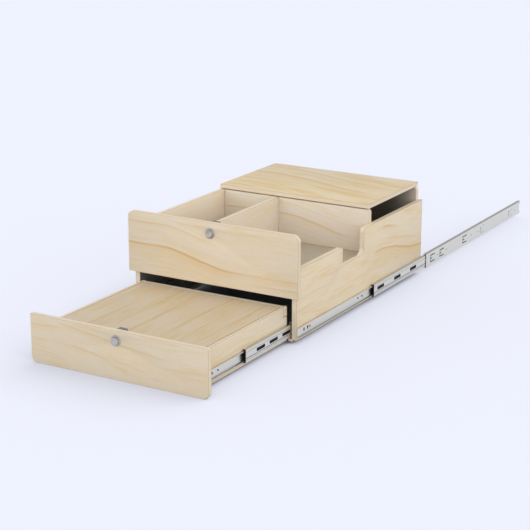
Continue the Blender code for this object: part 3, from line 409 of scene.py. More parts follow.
def veneer(name, grain, across, corner, seed, straw=0.45, sway=0.05, fall=0.0, fall_from=0.0, fall_to=1.0,
           streaks=(), thread=0.0062, line_strength=0.4, pale=0.9, tone=(1.0, 1.0, 1.0), raw=(), dull=1.0):
    """Rotary-cut birch face: thin lines over straw zones, pale wisps and fine fibres along the grain.

    The grain runs along one axis. Streaks are (height across the board, strength, how far each fades, and
    between which two places along the grain it shows); thread is how wide their dark line is.
    A zone of painted shade lies within the limits (axis, low, high, fade): the wood there is darkened to the
    brightness that dull gives, and greyed. Fade is how far each end of a limit spreads.
    """
    material, tree, shader = finish(name, roughness=0.5, coat=0.06)
    axes = object_axes(tree)
    along, over = axes[grain] - corner[grain], axes[across] - corner[across]
    leaf = laid_leaf(tree, along, over, seed, sway, fall, fall_from, fall_to)
    wisp = grained(leaf, leaf.level, 130.0, 9.0, 11.0, detail=4.0, roughness=0.65)
    ragged = 0.55 + grained(leaf, leaf.level, 700.0, 16.0, 19.0) * 0.9
    colour = lined(leaf, zoned(leaf, wisp, straw, pale), ragged, line_strength)
    colour = streaked(leaf, colour, wisp, ragged, streaks, thread)
    fibre = grained(leaf, over, 1500.0, 14.0, 37.0, detail=3.0)
    fleck = grained(leaf, over, 700.0, 60.0, 41.0, detail=1.0).smooth(0.64, 0.78)
    shade = 1.05 - (1.0 - fibre) * 0.11 - fleck * 0.10
    # Painted shade: darker, greyer wood within the given limits
    if raw:
        shadow = 1.0 - dull
        for side, low, high, fade in raw:
            shadow = axes[side].between(low, high, fade, fade) * shadow
        shade = shade * (1.0 - shadow)
        colour = blend(tree, shadow, colour, PAINTED_SHADE_GREY)
    # The tone is the board's own tint; on the compartment's walls it also adds painted light, on its floor
    # and on the table painted shade
    grey = node(tree, "CombineColor", [shade * part for part in tone])
    drive(tree, shader, "Base Color", blend(tree, 1.0, colour, grey, "MULTIPLY"))
    drive(tree, shader, "Roughness", 0.44 + fibre * 0.14)
    bumpy(tree, shader, fibre, 0.12, 0.0002)
    return material


def ply_edge(name, thick, low, high, seed):
    """Cut edge of the plywood: pale layers, every second one end grain, with thin glue lines."""
    material, tree, shader = finish(name, roughness=0.6)
    axes = object_axes(tree)
    layer = (axes[thick] - low) / PLY_LAYER
    phase = layer.math("FRACT")
    second = (layer * 0.5).math("FRACT").smooth(0.49, 0.51)
    glue = 1.0 - phase.smooth(0.0, 0.12)
    others = [axis for index, axis in enumerate(axes) if index != thick]
    end_grain = noise(tree, others[0] * 900.0, others[1] * 900.0, axes[thick] * 300.0 + seed)
    cloud = noise(tree, others[0] * 9.0, others[1] * 9.0, layer.math("FLOOR") + seed)
    mask = second * (0.22 + end_grain * 0.18) + glue * 0.30 + (cloud - 0.5) * 0.25
    colour = blend(tree, mask.math("MAXIMUM", 0.0), EDGE_PALE, EDGE_TAN)
    depth = (axes[thick] - low).math("MINIMUM", high - axes[thick])
    rim = (1.0 - depth.smooth(RIM * 0.75, RIM)) * (0.5 + end_grain * 0.5)
    drive(tree, shader, "Base Color", blend(tree, rim, colour, EDGE_BROWN))
    bumpy(tree, shader, end_grain, 0.15, 0.0002)
    return material


def rolled_steel(name, dark, light, low, high):
    """Zinc-plated sheet steel, with rolling streaks along its length and a faint cloudy plating."""
    material, tree, shader = finish(name, metallic=1.0)
    x, y, z = object_axes(tree)
    streak = noise(tree, x * 1200.0, y * 9.0, z * 1200.0)
    plating = cloudy(tree, 38.0, detail=3.0)
    drive(tree, shader, "Base Color", blend(tree, streak * 0.6 + plating * 0.4, dark, light))
    drive(tree, shader, "Roughness", low + (streak * 0.5 + plating * 0.5) * (high - low))
    bumpy(tree, shader, streak, 0.04, 0.0001)
    return material


def satin_metal(name, dark, light, roughness):
    """Fine satin metal without a direction."""
    material, tree, shader = finish(name, metallic=1.0)
    grit = cloudy(tree, 2400.0, detail=1.0)
    cloud = cloudy(tree, 160.0)
    drive(tree, shader, "Base Color", blend(tree, cloud, dark, light))
    drive(tree, shader, "Roughness", roughness + grit * 0.10)
    bumpy(tree, shader, grit, 0.03, 0.00005)
    return material


def moulded(name, colour, lighter, roughness, shine=0.5):
    """Moulded plastic, or another dull surface, with a fine grain."""
    material, tree, shader = finish(name, shine=shine)
    grain = cloudy(tree, 1800.0)
    cloud = cloudy(tree, 90.0)
    drive(tree, shader, "Base Color", blend(tree, cloud, colour, lighter))
    drive(tree, shader, "Roughness", roughness + grain * 0.12)
    bumpy(tree, shader, grain, 0.2, 0.0001)
    return material


def felt(name, colour, lighter):
    """Matted wool felt."""
    material, tree, shader = finish(name, roughness=0.95)
    nap = cloudy(tree, 2200.0, detail=4.0, roughness=0.7)
    clump = cloudy(tree, 260.0)
    drive(tree, shader, "Base Color", blend(tree, nap * 0.6 + clump * 0.4, colour, lighter))
    bumpy(tree, shader, nap, 0.7, 0.0004)
    return material


# Near black in the pilot bores: painted shade
PAINTED_BORE_SHADE = moulded("pilot_bore_painted_shade", (0.010, 0.008, 0.006), (0.016, 0.013, 0.010), 0.9, 0.0)
STEEL = rolled_steel("zinc_plated_steel", (0.70, 0.69, 0.62), (0.80, 0.785, 0.705), 0.26, 0.40)
# Near black on the rails' sheared walls and groove floors: painted shade
SHEARED_EDGE_SHADE = moulded("sheared_edge_painted_shade", (0.012, 0.012, 0.012), (0.03, 0.03, 0.03), 0.85, 0.05)
SCREW = satin_metal("screw_steel_finish", (0.24, 0.24, 0.24), (0.36, 0.36, 0.35), 0.26)
BALL = satin_metal("ball_steel", (0.60, 0.60, 0.60), (0.70, 0.70, 0.70), 0.08)
NICKEL = satin_metal("satin_nickel_finish", (0.50, 0.485, 0.46), (0.60, 0.58, 0.545), 0.24)
BLACK = moulded("black_moulding", (0.010, 0.010, 0.010), (0.020, 0.020, 0.020), 0.5, 0.15)
HOUSING = moulded("housing_moulding", near_linear(112, 112, 116), near_linear(128, 127, 130), 0.45)
FELT = felt("felt_strip", near_linear(84, 78, 72), near_linear(118, 110, 102))


def rounded(corners, steps=CORNER_STEPS):
    """Outline with rounded corners, from corners written as (across, up, radius)."""
    outline = []
    for index, (across_at, up_at, radius) in enumerate(corners):
        here = Vector((across_at, up_at))
        if radius <= 0:
            outline.append(here)
            continue
        before = (Vector(corners[index - 1][:2]) - here).normalized()
        after = (Vector(corners[(index + 1) % len(corners)][:2]) - here).normalized()
        half_angle = before.angle(after) / 2
        centre = here + (before + after).normalized() * (radius / math.sin(half_angle))
        reach = radius / math.tan(half_angle)
        first = here + before * reach - centre
        last = here + after * reach - centre
        start = math.atan2(first.y, first.x)
        sweep = math.atan2(last.y, last.x) - start
        sweep = (sweep + math.pi) % (2 * math.pi) - math.pi
        for step in range(steps + 1):
            angle = start + sweep * step / steps
            outline.append(centre + radius * Vector((math.cos(angle), math.sin(angle))))
    return outline


def folded(path, sheet):
    """Closed outline of a bent sheet, from a path along one side; the other side lies to the path's left."""
    other = []
    for index, point in enumerate(path):
        runs = []
        if index > 0:
            runs.append((point - path[index - 1]).normalized())
        if index < len(path) - 1:
            runs.append((path[index + 1] - point).normalized())
        normals = [Vector((-run.y, run.x)) for run in runs]
        middle = sum(normals, Vector((0, 0))).normalized()
        other.append(point + middle * (sheet / middle.dot(normals[0])))
    return path + other[::-1]


def plate(across, up, bends=(0, 0, 0, 0)):
    """Outline of a rectangle; bends are its corners' radii: low left, low right, high right, high left."""
    (left, right), (low, high) = across, up
    corners = [(left, low), (right, low), (right, high), (left, high)]
    return rounded([(*corner, bend) for corner, bend in zip(corners, bends)])


def on_axis(axis, point, level):
    """3-D place of an outline's point, at a level along an axis."""
    place = list(point)
    place.insert(axis, level)
    return Vector(place)


def prism(outline, axis, low, high):
    """Solid made by extruding an outline along an axis from low to high."""
    bm = bmesh.new()
    corners = [bm.verts.new(on_axis(axis, point, low)) for point in outline]
    foot = bm.faces.new(corners)
    grown = bmesh.ops.extrude_face_region(bm, geom=[foot])
    top = [item for item in grown["geom"] if isinstance(item, bmesh.types.BMVert)]
    bmesh.ops.translate(bm, verts=top, vec=on_axis(axis, (0, 0), high - low))
    bmesh.ops.recalc_face_normals(bm, faces=bm.faces)
    return bm


def block(x_range, y_range, z_range):
    """Rectangular solid between the given limits."""
    return prism(plate(x_range, z_range), Y, *y_range)


def eased(bm, size, segments=2):
    """The solid with its sharp edges eased."""
    edges = [edge for edge in bm.edges if edge.is_manifold and edge.calc_face_angle(0) > SHARP_ANGLE]
    bmesh.ops.bevel(bm, geom=edges, offset=size, offset_type="OFFSET", affect="EDGES", segments=segments,
                    profile=0.5, material=-1, clamp_overlap=True)
    return bm


def stood(bm, place, direction):
    """The solid, modelled on the origin along Z, set at a place and pointing in a direction."""
    turn = Vector((0, 0, 1)).rotation_difference(Vector(direction)).to_matrix().to_4x4()
    bmesh.ops.transform(bm, matrix=Matrix.Translation(place) @ turn, verts=bm.verts)
    return bm


def turned(profile, centre, direction, sides=ROUND_SIDES, ring=False):
    """Solid of revolution from points (radius, along), standing at centre and pointing in a direction."""
    bm = bmesh.new()
    points = [bm.verts.new((radius, 0, along)) for radius, along in profile]
    lines = [bm.edges.new(pair) for pair in zip(points, points[1:])]
    if ring:
        lines.append(bm.edges.new((points[-1], points[0])))
    bmesh.ops.spin(bm, geom=points + lines, cent=(0, 0, 0), axis=(0, 0, 1), angle=2 * math.pi,
                   steps=sides, use_merge=True)
    bmesh.ops.remove_doubles(bm, verts=bm.verts, dist=MERGE)
    bmesh.ops.recalc_face_normals(bm, faces=bm.faces)
    return stood(bm, centre, direction)


def rod(centre, direction, radius, length, sides=SMALL_SIDES):
    """Plain round bar that starts at centre."""
    return turned([(0, 0), (radius, 0), (radius, length), (0, length)], centre, direction, sides)


def walled(bm, finish_index):
    """The cutter, set to give its finish to the walls that it leaves."""
    for wall in bm.faces:
        wall.material_index = finish_index
    return bm


def as_mesh(name, bm):
    """New mesh that takes over a bmesh."""
    mesh = bpy.data.meshes.new(name)
    bm.to_mesh(mesh)
    bm.free()
    return mesh


def linked(name, data):
    """New object in the scene, with the given mesh, lamp or camera."""
    made = bpy.data.objects.new(name, data)
    bpy.context.collection.objects.link(made)
    return made


def joined(parts):
    """One bmesh that holds several solids."""
    whole = bmesh.new()
    for part in parts:
        mesh = as_mesh("scratch", part)
        whole.from_mesh(mesh)
        bpy.data.meshes.remove(mesh)
    return whole


def cut(bm, cutter):
    """The solid with another cut out of it."""
    solid, tool = [linked("scratch", as_mesh("scratch", part)) for part in (bm, cutter)]
    modifier = solid.modifiers.new("cut", "BOOLEAN")
    modifier.operation = "DIFFERENCE"
    modifier.solver = "EXACT"
    modifier.material_mode = "INDEX"
    modifier.object = tool
    bpy.context.view_layer.update()
    seen = solid.evaluated_get(bpy.context.evaluated_depsgraph_get())
    result = bmesh.new()
    result.from_mesh(seen.to_mesh())
    seen.to_mesh_clear()
    for shape in (solid, tool):
        mesh = shape.data
        bpy.data.objects.remove(shape)
        bpy.data.meshes.remove(mesh)
    return result


def piece(name, body, bm, finishes, slot, *nodes, thick=None, round_form=False):
    """Finished piece of the object; a board's faces square to its thickness are veneer, the rest edge."""
    for face in bm.faces:
        if thick is not None and face.material_index < SHADED_BORE:
            face.material_index = FACE if abs(face.normal[thick]) > SQUARE else EDGE
        face.smooth = round_form or min(edge.calc_length() for edge in face.edges) < NARROW
    for edge in bm.edges:
        if edge.is_manifold:
            edge.smooth = edge.calc_face_angle(0) < SHARP_ANGLE
    mesh = as_mesh(name, bm)
    for made in finishes:
        mesh.materials.append(made)
    shape = linked(name, mesh)
    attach(shape, body)
    if nodes:
        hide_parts(*nodes)


def box_of(node_name):
    """Lower and upper limit of a node along X, Y and Z."""
    low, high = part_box(node_name)
    return [(low[axis], high[axis]) for axis in (X, Y, Z)]


def middle_of(node_name):
    """Middle of a node along X, Y and Z."""
    return [sum(limits) / 2 for limits in box_of(node_name)]


def places_on(rail_node, shares):
    """Places along Y at the given shares of a rail's length."""
    front, rear = box_of(rail_node)[Y]
    return [front + share * (rear - front) for share in shares]


def slide_face(slide):
    """How far from the middle plane a slide's inner rail starts, on the board that it is screwed to."""
    return box_of(SLIDE_BOARDS[slide])[X][1] + SEAT


def slide_level(slide, label):
    """Height of the middle of a slide."""
    return middle_of(f"{slide}_mid_rail_{label}")[Z]


def pilot_holes(slide, label, shares):
    """Cutters for the pilot holes in a board, behind the empty holes of the inner rail on it."""
    side, rail_node = SIDES[label], f"{slide}_inner_rail_{label}"
    level = middle_of(rail_node)[Z]
    places = [(side * slide_face(slide), along, level) for along in places_on(rail_node, shares)]
    return [walled(rod(place, (-side, 0, 0), PILOT_RADIUS, PILOT_DEPTH), SHADED_BORE) for place in places]


def ply(node_name, body, bm, grain, across, thick, seed, pilots=(), **figure):
    """Plywood board that stands for a node, veneered on both faces."""
    low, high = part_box(node_name)
    face = veneer(node_name + "_veneer", grain, across, low, seed, **figure)
    edge = ply_edge(node_name + "_edge", thick, low[thick], high[thick], seed)
    shape = eased(bm, EASE)
    if pilots:
        shape = cut(shape, joined(pilots))
    piece(node_name + "_board", body, shape, [face, edge, PAINTED_BORE_SHADE], "birch_ply", node_name, thick=thick)


def front_board(label, body, bends, seed, **figure):
    """Front board with the round hole for its lock."""
    across, (front, back), up = box_of(f"{label}_front")
    lock_x, _, lock_z = middle_of(f"{label}_knob")
    hole = rod((lock_x, front - OVERRUN, lock_z), (0, 1, 0), LOCK_HOLE_RADIUS, back - front + 2 * OVERRUN,
               ROUND_SIDES)
    shape = cut(prism(plate(across, up, bends), Y, front, back), hole)
    ply(f"{label}_front", body, shape, X, Z, Y, seed, **figure)


def fronts():
    """Upper front, round at its top corners, and lower front, round at its bottom corners."""
    front_board("upper", "box", (0, 0, FRONT_CORNER, FRONT_CORNER), 3.0, straw=0.42, sway=0.016, fall=0.041,
                fall_from=0.12, fall_to=0.34, thread=0.0075, line_strength=0.12, tone=(0.98, 0.99, 1.02),
                streaks=((0.089, 0.90, 0.050, -0.1, 0.34), (0.086, 0.35, 0.030, 0.32, 0.60),
                         (0.153, 0.45, 0.024, -0.1, 0.26), (0.062, 0.35, 0.024, 0.42, 0.60)))
    front_board("lower", "lower_drawer", (FRONT_CORNER, FRONT_CORNER, 0, 0), 8.0, straw=0.48, sway=0.02,
                fall=0.035, fall_from=0.05, fall_to=0.45, line_strength=0.08, tone=(0.98, 0.98, 1.0),
                streaks=((0.122, 0.40, 0.030, 0.10, 0.40), (0.070, 0.30, 0.030, -0.1, 0.25),
                         (0.110, 0.30, 0.040, -0.1, 0.12), (0.100, 0.20, 0.016, 0.35, 0.60)))


def left_side():
    """Left side panel, at full height, with painted shade inside below the compartment floor and painted
    light in its tone.
    """
    x_range, y_range, (foot, top) = box_of("left_side_panel")
    under_floor = box_of("compartment_floor")[Z][0]
    # Painted light: the brighter, cooler tone; painted shade: its inner face below the compartment floor
    ply("left_side_panel", "box", prism(plate(y_range, (foot, top)), X, *x_range), Y, Z, X, 13.0, straw=0.3,
        sway=0.04, streaks=((0.19, 0.2, 0.02, 0.0, 0.5),), tone=(1.12, 1.16, 1.27), dull=0.25,
        raw=((X, sum(x_range) / 2, x_range[1] + OVERRUN, SEAT), (Z, foot - OVERRUN, under_floor, SEAT)),
        pilots=pilot_holes("main", "left", MAIN_INNER_ROUND_SHARES + MAIN_INNER_TALL_SHARES))


def right_side():
    """Right side panel, low at the front and with a notch behind that."""
    x_range, (front, rear), (foot, top) = box_of("right_side_panel")
    notch = front - SEAT + NOTCH_START
    notch_end, notch_foot, low_top = notch + NOTCH_LENGTH, foot + NOTCH_BOTTOM, foot + LOW_FRONT_TOP
    outline = rounded([
        (front, foot, 0), (rear, foot, 0), (rear, top, 0), (notch_end, top, NOTCH_BENDS["rear_top"]),
        (notch_end, notch_foot, NOTCH_BENDS["rear_foot"]), (notch, notch_foot, NOTCH_BENDS["front_foot"]),
        (notch, low_top, NOTCH_BENDS["front_top"]), (front, low_top, 0)])
    ply("right_side_panel", "box", prism(outline, X, *x_range), Y, Z, X, 21.0, straw=0.6, sway=0.03,
        fall=0.05, fall_from=0.5, fall_to=0.8, thread=0.010, line_strength=0.0, tone=(1.04, 1.03, 1.01),
        streaks=((0.139, 0.85, 0.060, 0.48, 0.95), (0.206, 0.75, 0.030, 0.53, 0.60),
                 (0.170, 0.35, 0.030, 0.58, 0.75), (0.120, 0.30, 0.040, 0.06, 0.20),
                 (0.150, 0.25, 0.025, 0.12, 0.25), (0.085, 0.35, 0.025, 0.0, 0.10)),
        pilots=pilot_holes("main", "right", MAIN_INNER_ROUND_SHARES + MAIN_INNER_TALL_SHARES))


def cross_boards():
    """Cross panel, toned as painted light, and back panel, whose front face has painted shade; each is round
    at its top right corner.
    """
    bends = (0, 0, CROSS_CORNER, 0)
    (left, right), y_range, up = box_of("cross_panel")
    outline = plate((left + SEAM, right - SEAM), up, bends)
    # The cross panel's brighter, cooler tone is painted light on the compartment's rear wall
    ply("cross_panel", "box", prism(outline, Y, *y_range), X, Z, Y, 27.0, straw=0.4, sway=0.02, fall=0.04,
        fall_from=0.2, fall_to=0.45, streaks=((0.085, 0.6, 0.030, 0.0, 0.42), (0.118, 0.2, 0.02, 0.2, 0.6)),
        tone=(1.03, 1.09, 1.26))
    (left, right), y_range, up = box_of("back_panel")
    outline = plate((left, right), up, bends)
    # Painted shade on the back panel's front face, fading out towards its right end
    ply("back_panel", "box", prism(outline, Y, *y_range), X, Z, Y, 31.0, straw=0.5,
        streaks=((0.13, 0.5, 0.02, 0.0, 0.3), (0.21, 0.3, 0.02, 0.1, 0.5)), dull=0.26,
        raw=((Y, y_range[0] - OVERRUN, sum(y_range) / 2, SEAT),
             (X, left - OVERRUN, right - LIT_END, LIT_FADE)))


def compartments():
    """Compartment floor, with a pocket for the lower bolt in its underside, and divider."""
    x_range, (front, rear), (foot, top) = box_of("compartment_floor")
    bolt_x, _, (_, bolt_top) = box_of("lower_bolt")
    pocket = block((bolt_x[0] - POCKET_CLEAR, bolt_x[1] + POCKET_CLEAR),
                   (front - OVERRUN, front - SEAT + BOLT_POCKET_DEPTH),
                   (foot - OVERRUN, bolt_top + BOLT_THROW + POCKET_CLEAR / 2))
    # The floor's darker tone is painted shade at the bottom of the compartment
    ply("compartment_floor", "box", cut(block(x_range, (front, rear), (foot, top)), pocket), Y, X, Z, 37.0,
        straw=0.2, tone=(0.67, 0.68, 0.70))
    x_range, (front, rear), z_range = box_of("divider")
    # The divider's brighter, cooler tone is painted light
    ply("divider", "box", block(x_range, (front, rear - SEAM), z_range), Y, Z, X, 41.0, straw=0.3,
        streaks=((0.08, 0.2, 0.02, 0.0, 0.3),), tone=(1.02, 1.05, 1.14))


def lid():
    """Lid over the rear compartment."""
    across, (front, _), z_range = box_of("lid")
    rear = box_of("back_panel")[Y][1]
    outline = plate(across, (front, rear), (LID_CORNER, LID_CORNER, 0, 0))
    ply("lid", "lid", prism(outline, Z, *z_range), X, Y, Z, 47.0, straw=1.2, sway=0.04, fall=0.10,
        fall_from=0.05, fall_to=0.5, thread=0.014, line_strength=0.5, pale=0.5, tone=(1.01, 1.0, 0.95),
        streaks=((0.215, 0.75, 0.07, 0.0, 0.42), (0.130, 0.40, 0.04, 0.0, 0.2),
                 (0.170, 0.55, 0.05, 0.25, 0.60), (0.300, 0.55, 0.05, 0.08, 0.45),
                 (0.350, 0.45, 0.05, 0.25, 0.60)))


def drawer_sides():
    """Sides of the lower drawer, with a rebate for the table and a slot for the rear panel's tab."""
    foot, top = box_of("drawer_side_right")[Z]
    tab_front, tab_back = box_of("drawer_rear_panel")[Y]
    for label, side in SIDES.items():
        x_range, y_range, _ = box_of(f"drawer_side_{label}")
        outer = side * max(abs(x_range[0]), abs(x_range[1]))
        inner = outer - side * DRAWER_WALL
        ledge = inner + side * (TABLE_LEDGE + RIM_PLAY)
        section = [(outer, foot), (outer, top), (ledge, top), (ledge, top - LEDGE_DEPTH),
                   (inner, top - LEDGE_DEPTH), (inner, foot)]
        slot = block(sorted((outer + side * OVERRUN, inner - side * OVERRUN)),
                     (tab_front - SEAT, tab_back + SEAT), (top - TAB_DEPTH, top + OVERRUN))
        ply(f"drawer_side_{label}", "lower_drawer", cut(prism(section, Y, *y_range), slot), Y, Z, X,
            53.0 + side, straw=0.5, streaks=((0.05, 0.3, 0.02, 0.0, 0.4),),
            pilots=pilot_holes("lower", label, LOWER_INNER_ROUND_SHARES))


def drawer_rear():
    """Rear panel of the lower drawer, with a tab at each end."""
    (left, right), y_range, (foot, top) = box_of("drawer_rear_panel")
    low_half, tab_foot = right - DRAWER_WALL - SEAT, top - TAB_DEPTH + SEAT
    outline = rounded([(-low_half, foot, 0), (low_half, foot, 0), (low_half, tab_foot, 0),
                       (right, tab_foot, TAB_CORNER), (right, top, 0), (left, top, 0),
                       (left, tab_foot, TAB_CORNER), (-low_half, tab_foot, 0)])
    ply("drawer_rear_panel", "lower_drawer", prism(outline, Y, *y_range), X, Z, Y, 59.0)


def table():
    """Table panel, notched at the front for the lock, and the drawer's bottom panel."""
    (left, right), (front, rear), z_range = box_of("table_panel")
    left, right = left + TABLE_PLAY, right - TABLE_PLAY
    lock_x, notch = middle_of("lower_bolt")[X], front - SEAT + TABLE_NOTCH_DEPTH
    notch_left, notch_right = lock_x - TABLE_NOTCH_HALF, lock_x + TABLE_NOTCH_HALF
    outline = [(left, front), (notch_left, front), (notch_left, notch), (notch_right, notch),
               (notch_right, front), (right, front), (right, rear), (left, rear)]
    # The table's darker tone is painted shade under the upper box
    ply("table_panel", "lower_drawer", prism(outline, Z, *z_range), Y, X, Z, 61.0, straw=0.65, sway=0.02,
        thread=0.009, line_strength=0.5, tone=(0.88, 0.86, 0.84),
        streaks=((0.09, 0.5, 0.016, 0.0, 0.25), (0.15, 0.4, 0.014, 0.1, 0.5), (0.215, 0.5, 0.016, 0.0, 0.3),
                 (0.31, 0.55, 0.018, 0.05, 0.5), (0.37, 0.3, 0.014, 0.0, 0.2), (0.42, 0.4, 0.014, 0.1, 0.5)))
    ply("drawer_bottom", "lower_drawer", block(*box_of("drawer_bottom")), Y, X, Z, 67.0)


def battens():
    """Thin battens with rounded front ends, under the lower slides."""
    for label in SIDES:
        x_range, y_range, z_range = box_of(f"slide_batten_{label}")
        outline = plate(y_range, z_range, (BATTEN_NOSE, 0, 0, BATTEN_NOSE))
        ply(f"slide_batten_{label}", "box", prism(outline, X, *x_range), Y, Z, X, 71.0)


def section_outline(side, face, height_mid, points):
    """Section drawn as (depth out from the wood, height), placed on one side of the box."""
    return [Vector((side * (face + point.x), height_mid + point.y)) for point in points]


def channel(web, tip, height):
    """Plain C section, open to the wood, with lips at its tips."""
    half = height / 2
    path = rounded([(tip, half - LIP, 0), (tip, half, LIP_BEND), (web, half, WEB_BEND),
                    (web, -half, WEB_BEND), (tip, -half, LIP_BEND), (tip, -half + LIP, 0)], BEND_STEPS)
    return folded(path, -SHEET)


def open_channel(web, tip, height):
    """Plain C section, open away from the wood, with wide bends in which the balls run."""
    half = height / 2
    path = rounded([(tip, half, 0), (web, half, TRACK_BEND), (web, -half, TRACK_BEND), (tip, -half, 0)],
                   BEND_STEPS)
    return folded(path, SHEET)


def grooved_channel(web, tip, height):
    """C section, open to the wood, whose web has narrow grooves rolled along it."""
    half = height / 2
    corners = [(tip, half, 0), (web, half, WEB_BEND)]
    for top, width in GROOVES:
        corners += [(web, top + GROOVE_SLOPE, 0), (web - GROOVE_DEPTH, top, 0),
                    (web - GROOVE_DEPTH, top - width, 0), (web, top - width - GROOVE_SLOPE, 0)]
    corners += [(web, -half, WEB_BEND), (tip, -half, 0)]
    return folded(rounded(corners, BEND_STEPS), -SHEET)


SECTIONS = {"outer": (channel, OUTER_WEB, OUTER_TIP, OUTER_HEIGHT),
            "mid": (grooved_channel, MID_WEB, MID_TIP, MID_HEIGHT),
            "inner": (open_channel, INNER_WEB, INNER_TIP, INNER_HEIGHT)}


def hole_outline(along, height_mid, length, height, bend=None):
    """Outline of a round-ended hole, or of a slot with smaller bends at its corners."""
    bend = bend or min(length, height) / 2 - MERGE
    return plate((along - length / 2, along + length / 2), (height_mid - height / 2, height_mid + height / 2),
                 [bend] * 4)


def tab_outline(along, height_mid):
    """E-shaped outline of the slot round two small tongues."""
    low, high = along - TAB_LENGTH / 2, along + TAB_LENGTH / 2
    spine, middle = low + TAB_CUT, low + TAB_TONGUE
    edge, inside, half_cut = TAB_HEIGHT / 2, TAB_HEIGHT / 2 - TAB_CUT, TAB_CUT / 2
    corners = [(low, -edge), (high, -edge), (high, -inside), (spine, -inside), (spine, -half_cut),
               (middle, -half_cut), (middle, half_cut), (spine, half_cut), (spine, inside), (high, inside),
               (high, edge), (low, edge)]
    return [(across, height_mid + up) for across, up in corners]


def through_web(side, face, web, outline):
    """Cutter of the given outline, along Y and Z, right through a rail's web."""
    ends = sorted(side * (face + depth) for depth in (web - 2 * SHEET, web + 2 * SHEET))
    # The hole's walls take the near-black painted shade
    return walled(prism(outline, X, *ends), SHADED_WALL)


def rail(slide, part, label, body, outlines):
    """Steel rail that stands for a node: its section along Y, with holes of the given outlines in its web.

    The floors of rolled grooves and the holes' sheared edges are near black, as painted shade.
    """
    node_name, side, face = f"{slide}_{part}_rail_{label}", SIDES[label], slide_face(slide)
    drawn, web, tip, height = SECTIONS[part]
    section = section_outline(side, face, slide_level(slide, label), drawn(web, tip, height))
    shape = prism(section, Y, *box_of(node_name)[Y])
    # Groove floors take the near-black finish: painted shade in the grooves
    for wall in shape.faces:
        depth = side * wall.calc_center_median().x - face
        if abs(depth - web + GROOVE_DEPTH) < MERGE:
            wall.material_index = SHADED_WALL
    if outlines:
        shape = cut(shape, joined([through_web(side, face, web, outline) for outline in outlines]))
    piece(node_name + "_profile", body, shape, [STEEL, SHEARED_EDGE_SHADE], "zinc_steel", node_name)


def rail_holes(slide, part, label, shares, length, height, lift=0.0, bend=None):
    """Outlines of one kind of hole, at the given shares of a rail's length."""
    level = slide_level(slide, label) + lift
    return [hole_outline(along, level, length, height, bend)
            for along in places_on(f"{slide}_{part}_rail_{label}", shares)]


def rail_screws(slide, part, label, body, shares, depth, outward, rise):
    """Screws in a rail, a depth out from the wood; outward is 1 for heads that face away from it, or -1."""
    x, level = SIDES[label] * (slide_face(slide) + depth), slide_level(slide, label)
    places = [(x, along, level) for along in places_on(f"{slide}_{part}_rail_{label}", shares)]
    screws(f"{slide}_{part}_screws_{label}", body, places, (SIDES[label] * outward, 0, 0), PAN_RADIUS, rise)


def main_slides():
    """Rails of the two long slides, with the screws that hold them to the box."""
    for label in SIDES:
        level = slide_level("main", label)
        rear = box_of(f"main_outer_rail_{label}")[Y][1]
        notch = plate((rear - END_NOTCH_DEPTH, rear + OVERRUN),
                      (level - END_NOTCH_HEIGHT / 2, level + END_NOTCH_HEIGHT / 2),
                      (END_NOTCH_BEND, 0, 0, END_NOTCH_BEND))
        holes = rail_holes("main", "outer", label, MAIN_OUTER_ROUND_SHARES, ROUND_HOLE, ROUND_HOLE)
        tabs = [tab_outline(along, level)
                for along in places_on(f"main_outer_rail_{label}", MAIN_OUTER_TAB_SHARES)]
        rail("main", "outer", label, "van_rails", holes + tabs + [notch])
        slots = rail_holes("main", "mid", label, MAIN_MID_SLOT_SHARES, MID_SLOT, MID_SLOT_HEIGHT,
                           MID_SLOT_LIFT, SLOT_BEND)
        rail("main", "mid", label, "main_mid_rails", slots)
        holes = rail_holes("main", "inner", label, MAIN_INNER_ROUND_SHARES, INNER_HOLE, INNER_HOLE)
        tall_holes = rail_holes("main", "inner", label, MAIN_INNER_TALL_SHARES, INNER_HOLE, TALL_HOLE)
        rail("main", "inner", label, "box", holes + tall_holes)
        rail_screws("main", "inner", label, "box", MAIN_INNER_SCREW_SHARES, SHEET, 1, PAN_RISE)


def lower_slides():
    """Rails of the two short slides, with the screws that hold them."""
    for label in SIDES:
        rail("lower", "outer", label, "box", [])
        slots = rail_holes("lower", "mid", label, LOWER_MID_SLOT_SHARES, LOWER_SLOT, LOWER_SLOT_HEIGHT,
                           MID_SLOT_LIFT, SLOT_BEND)
        rail("lower", "mid", label, "lower_mid_rails", slots)
        holes = rail_holes("lower", "inner", label, LOWER_INNER_ROUND_SHARES, INNER_HOLE, INNER_HOLE)
        rail("lower", "inner", label, "lower_drawer", holes)
        rail_screws("lower", "inner", label, "lower_drawer", LOWER_INNER_SCREW_SHARES, SHEET, 1, PAN_RISE)
        rail_screws("lower", "outer", label, "box", LOWER_OUTER_SCREW_SHARES, OUTER_WEB - SHEET, -1, SEAT)


def pan_head(radius, rise):
    """Screw head with a cross recess and the start of its shank, on the origin."""
    profile = ([(radius * share, rise * height) for share, height in PAN_PROFILE]
               + [(radius * SHANK_SHARE, -SHEET), (0, -SHEET)])
    head = turned(profile, (0, 0, 0), (0, 0, 1), SMALL_SIDES)
    half, slim, depth = RECESS_LENGTH / 2, RECESS_WIDTH / 2, min(RECESS_DEPTH, rise + SHEET / 2)
    first = block((-half, half), (-slim, slim), (rise - depth, rise + OVERRUN))
    second = block((-slim, slim), (-half, half), (rise - depth - MERGE, rise + 2 * OVERRUN))
    return cut(cut(head, first), second)


def screws(name, body, places, direction, radius, rise):
    """Pan heads that stand on a surface and point out of it."""
    heads = [stood(pan_head(radius, rise), place, direction) for place in places]
    piece(name, body, joined(heads), [SCREW], "screw_steel", round_form=True)


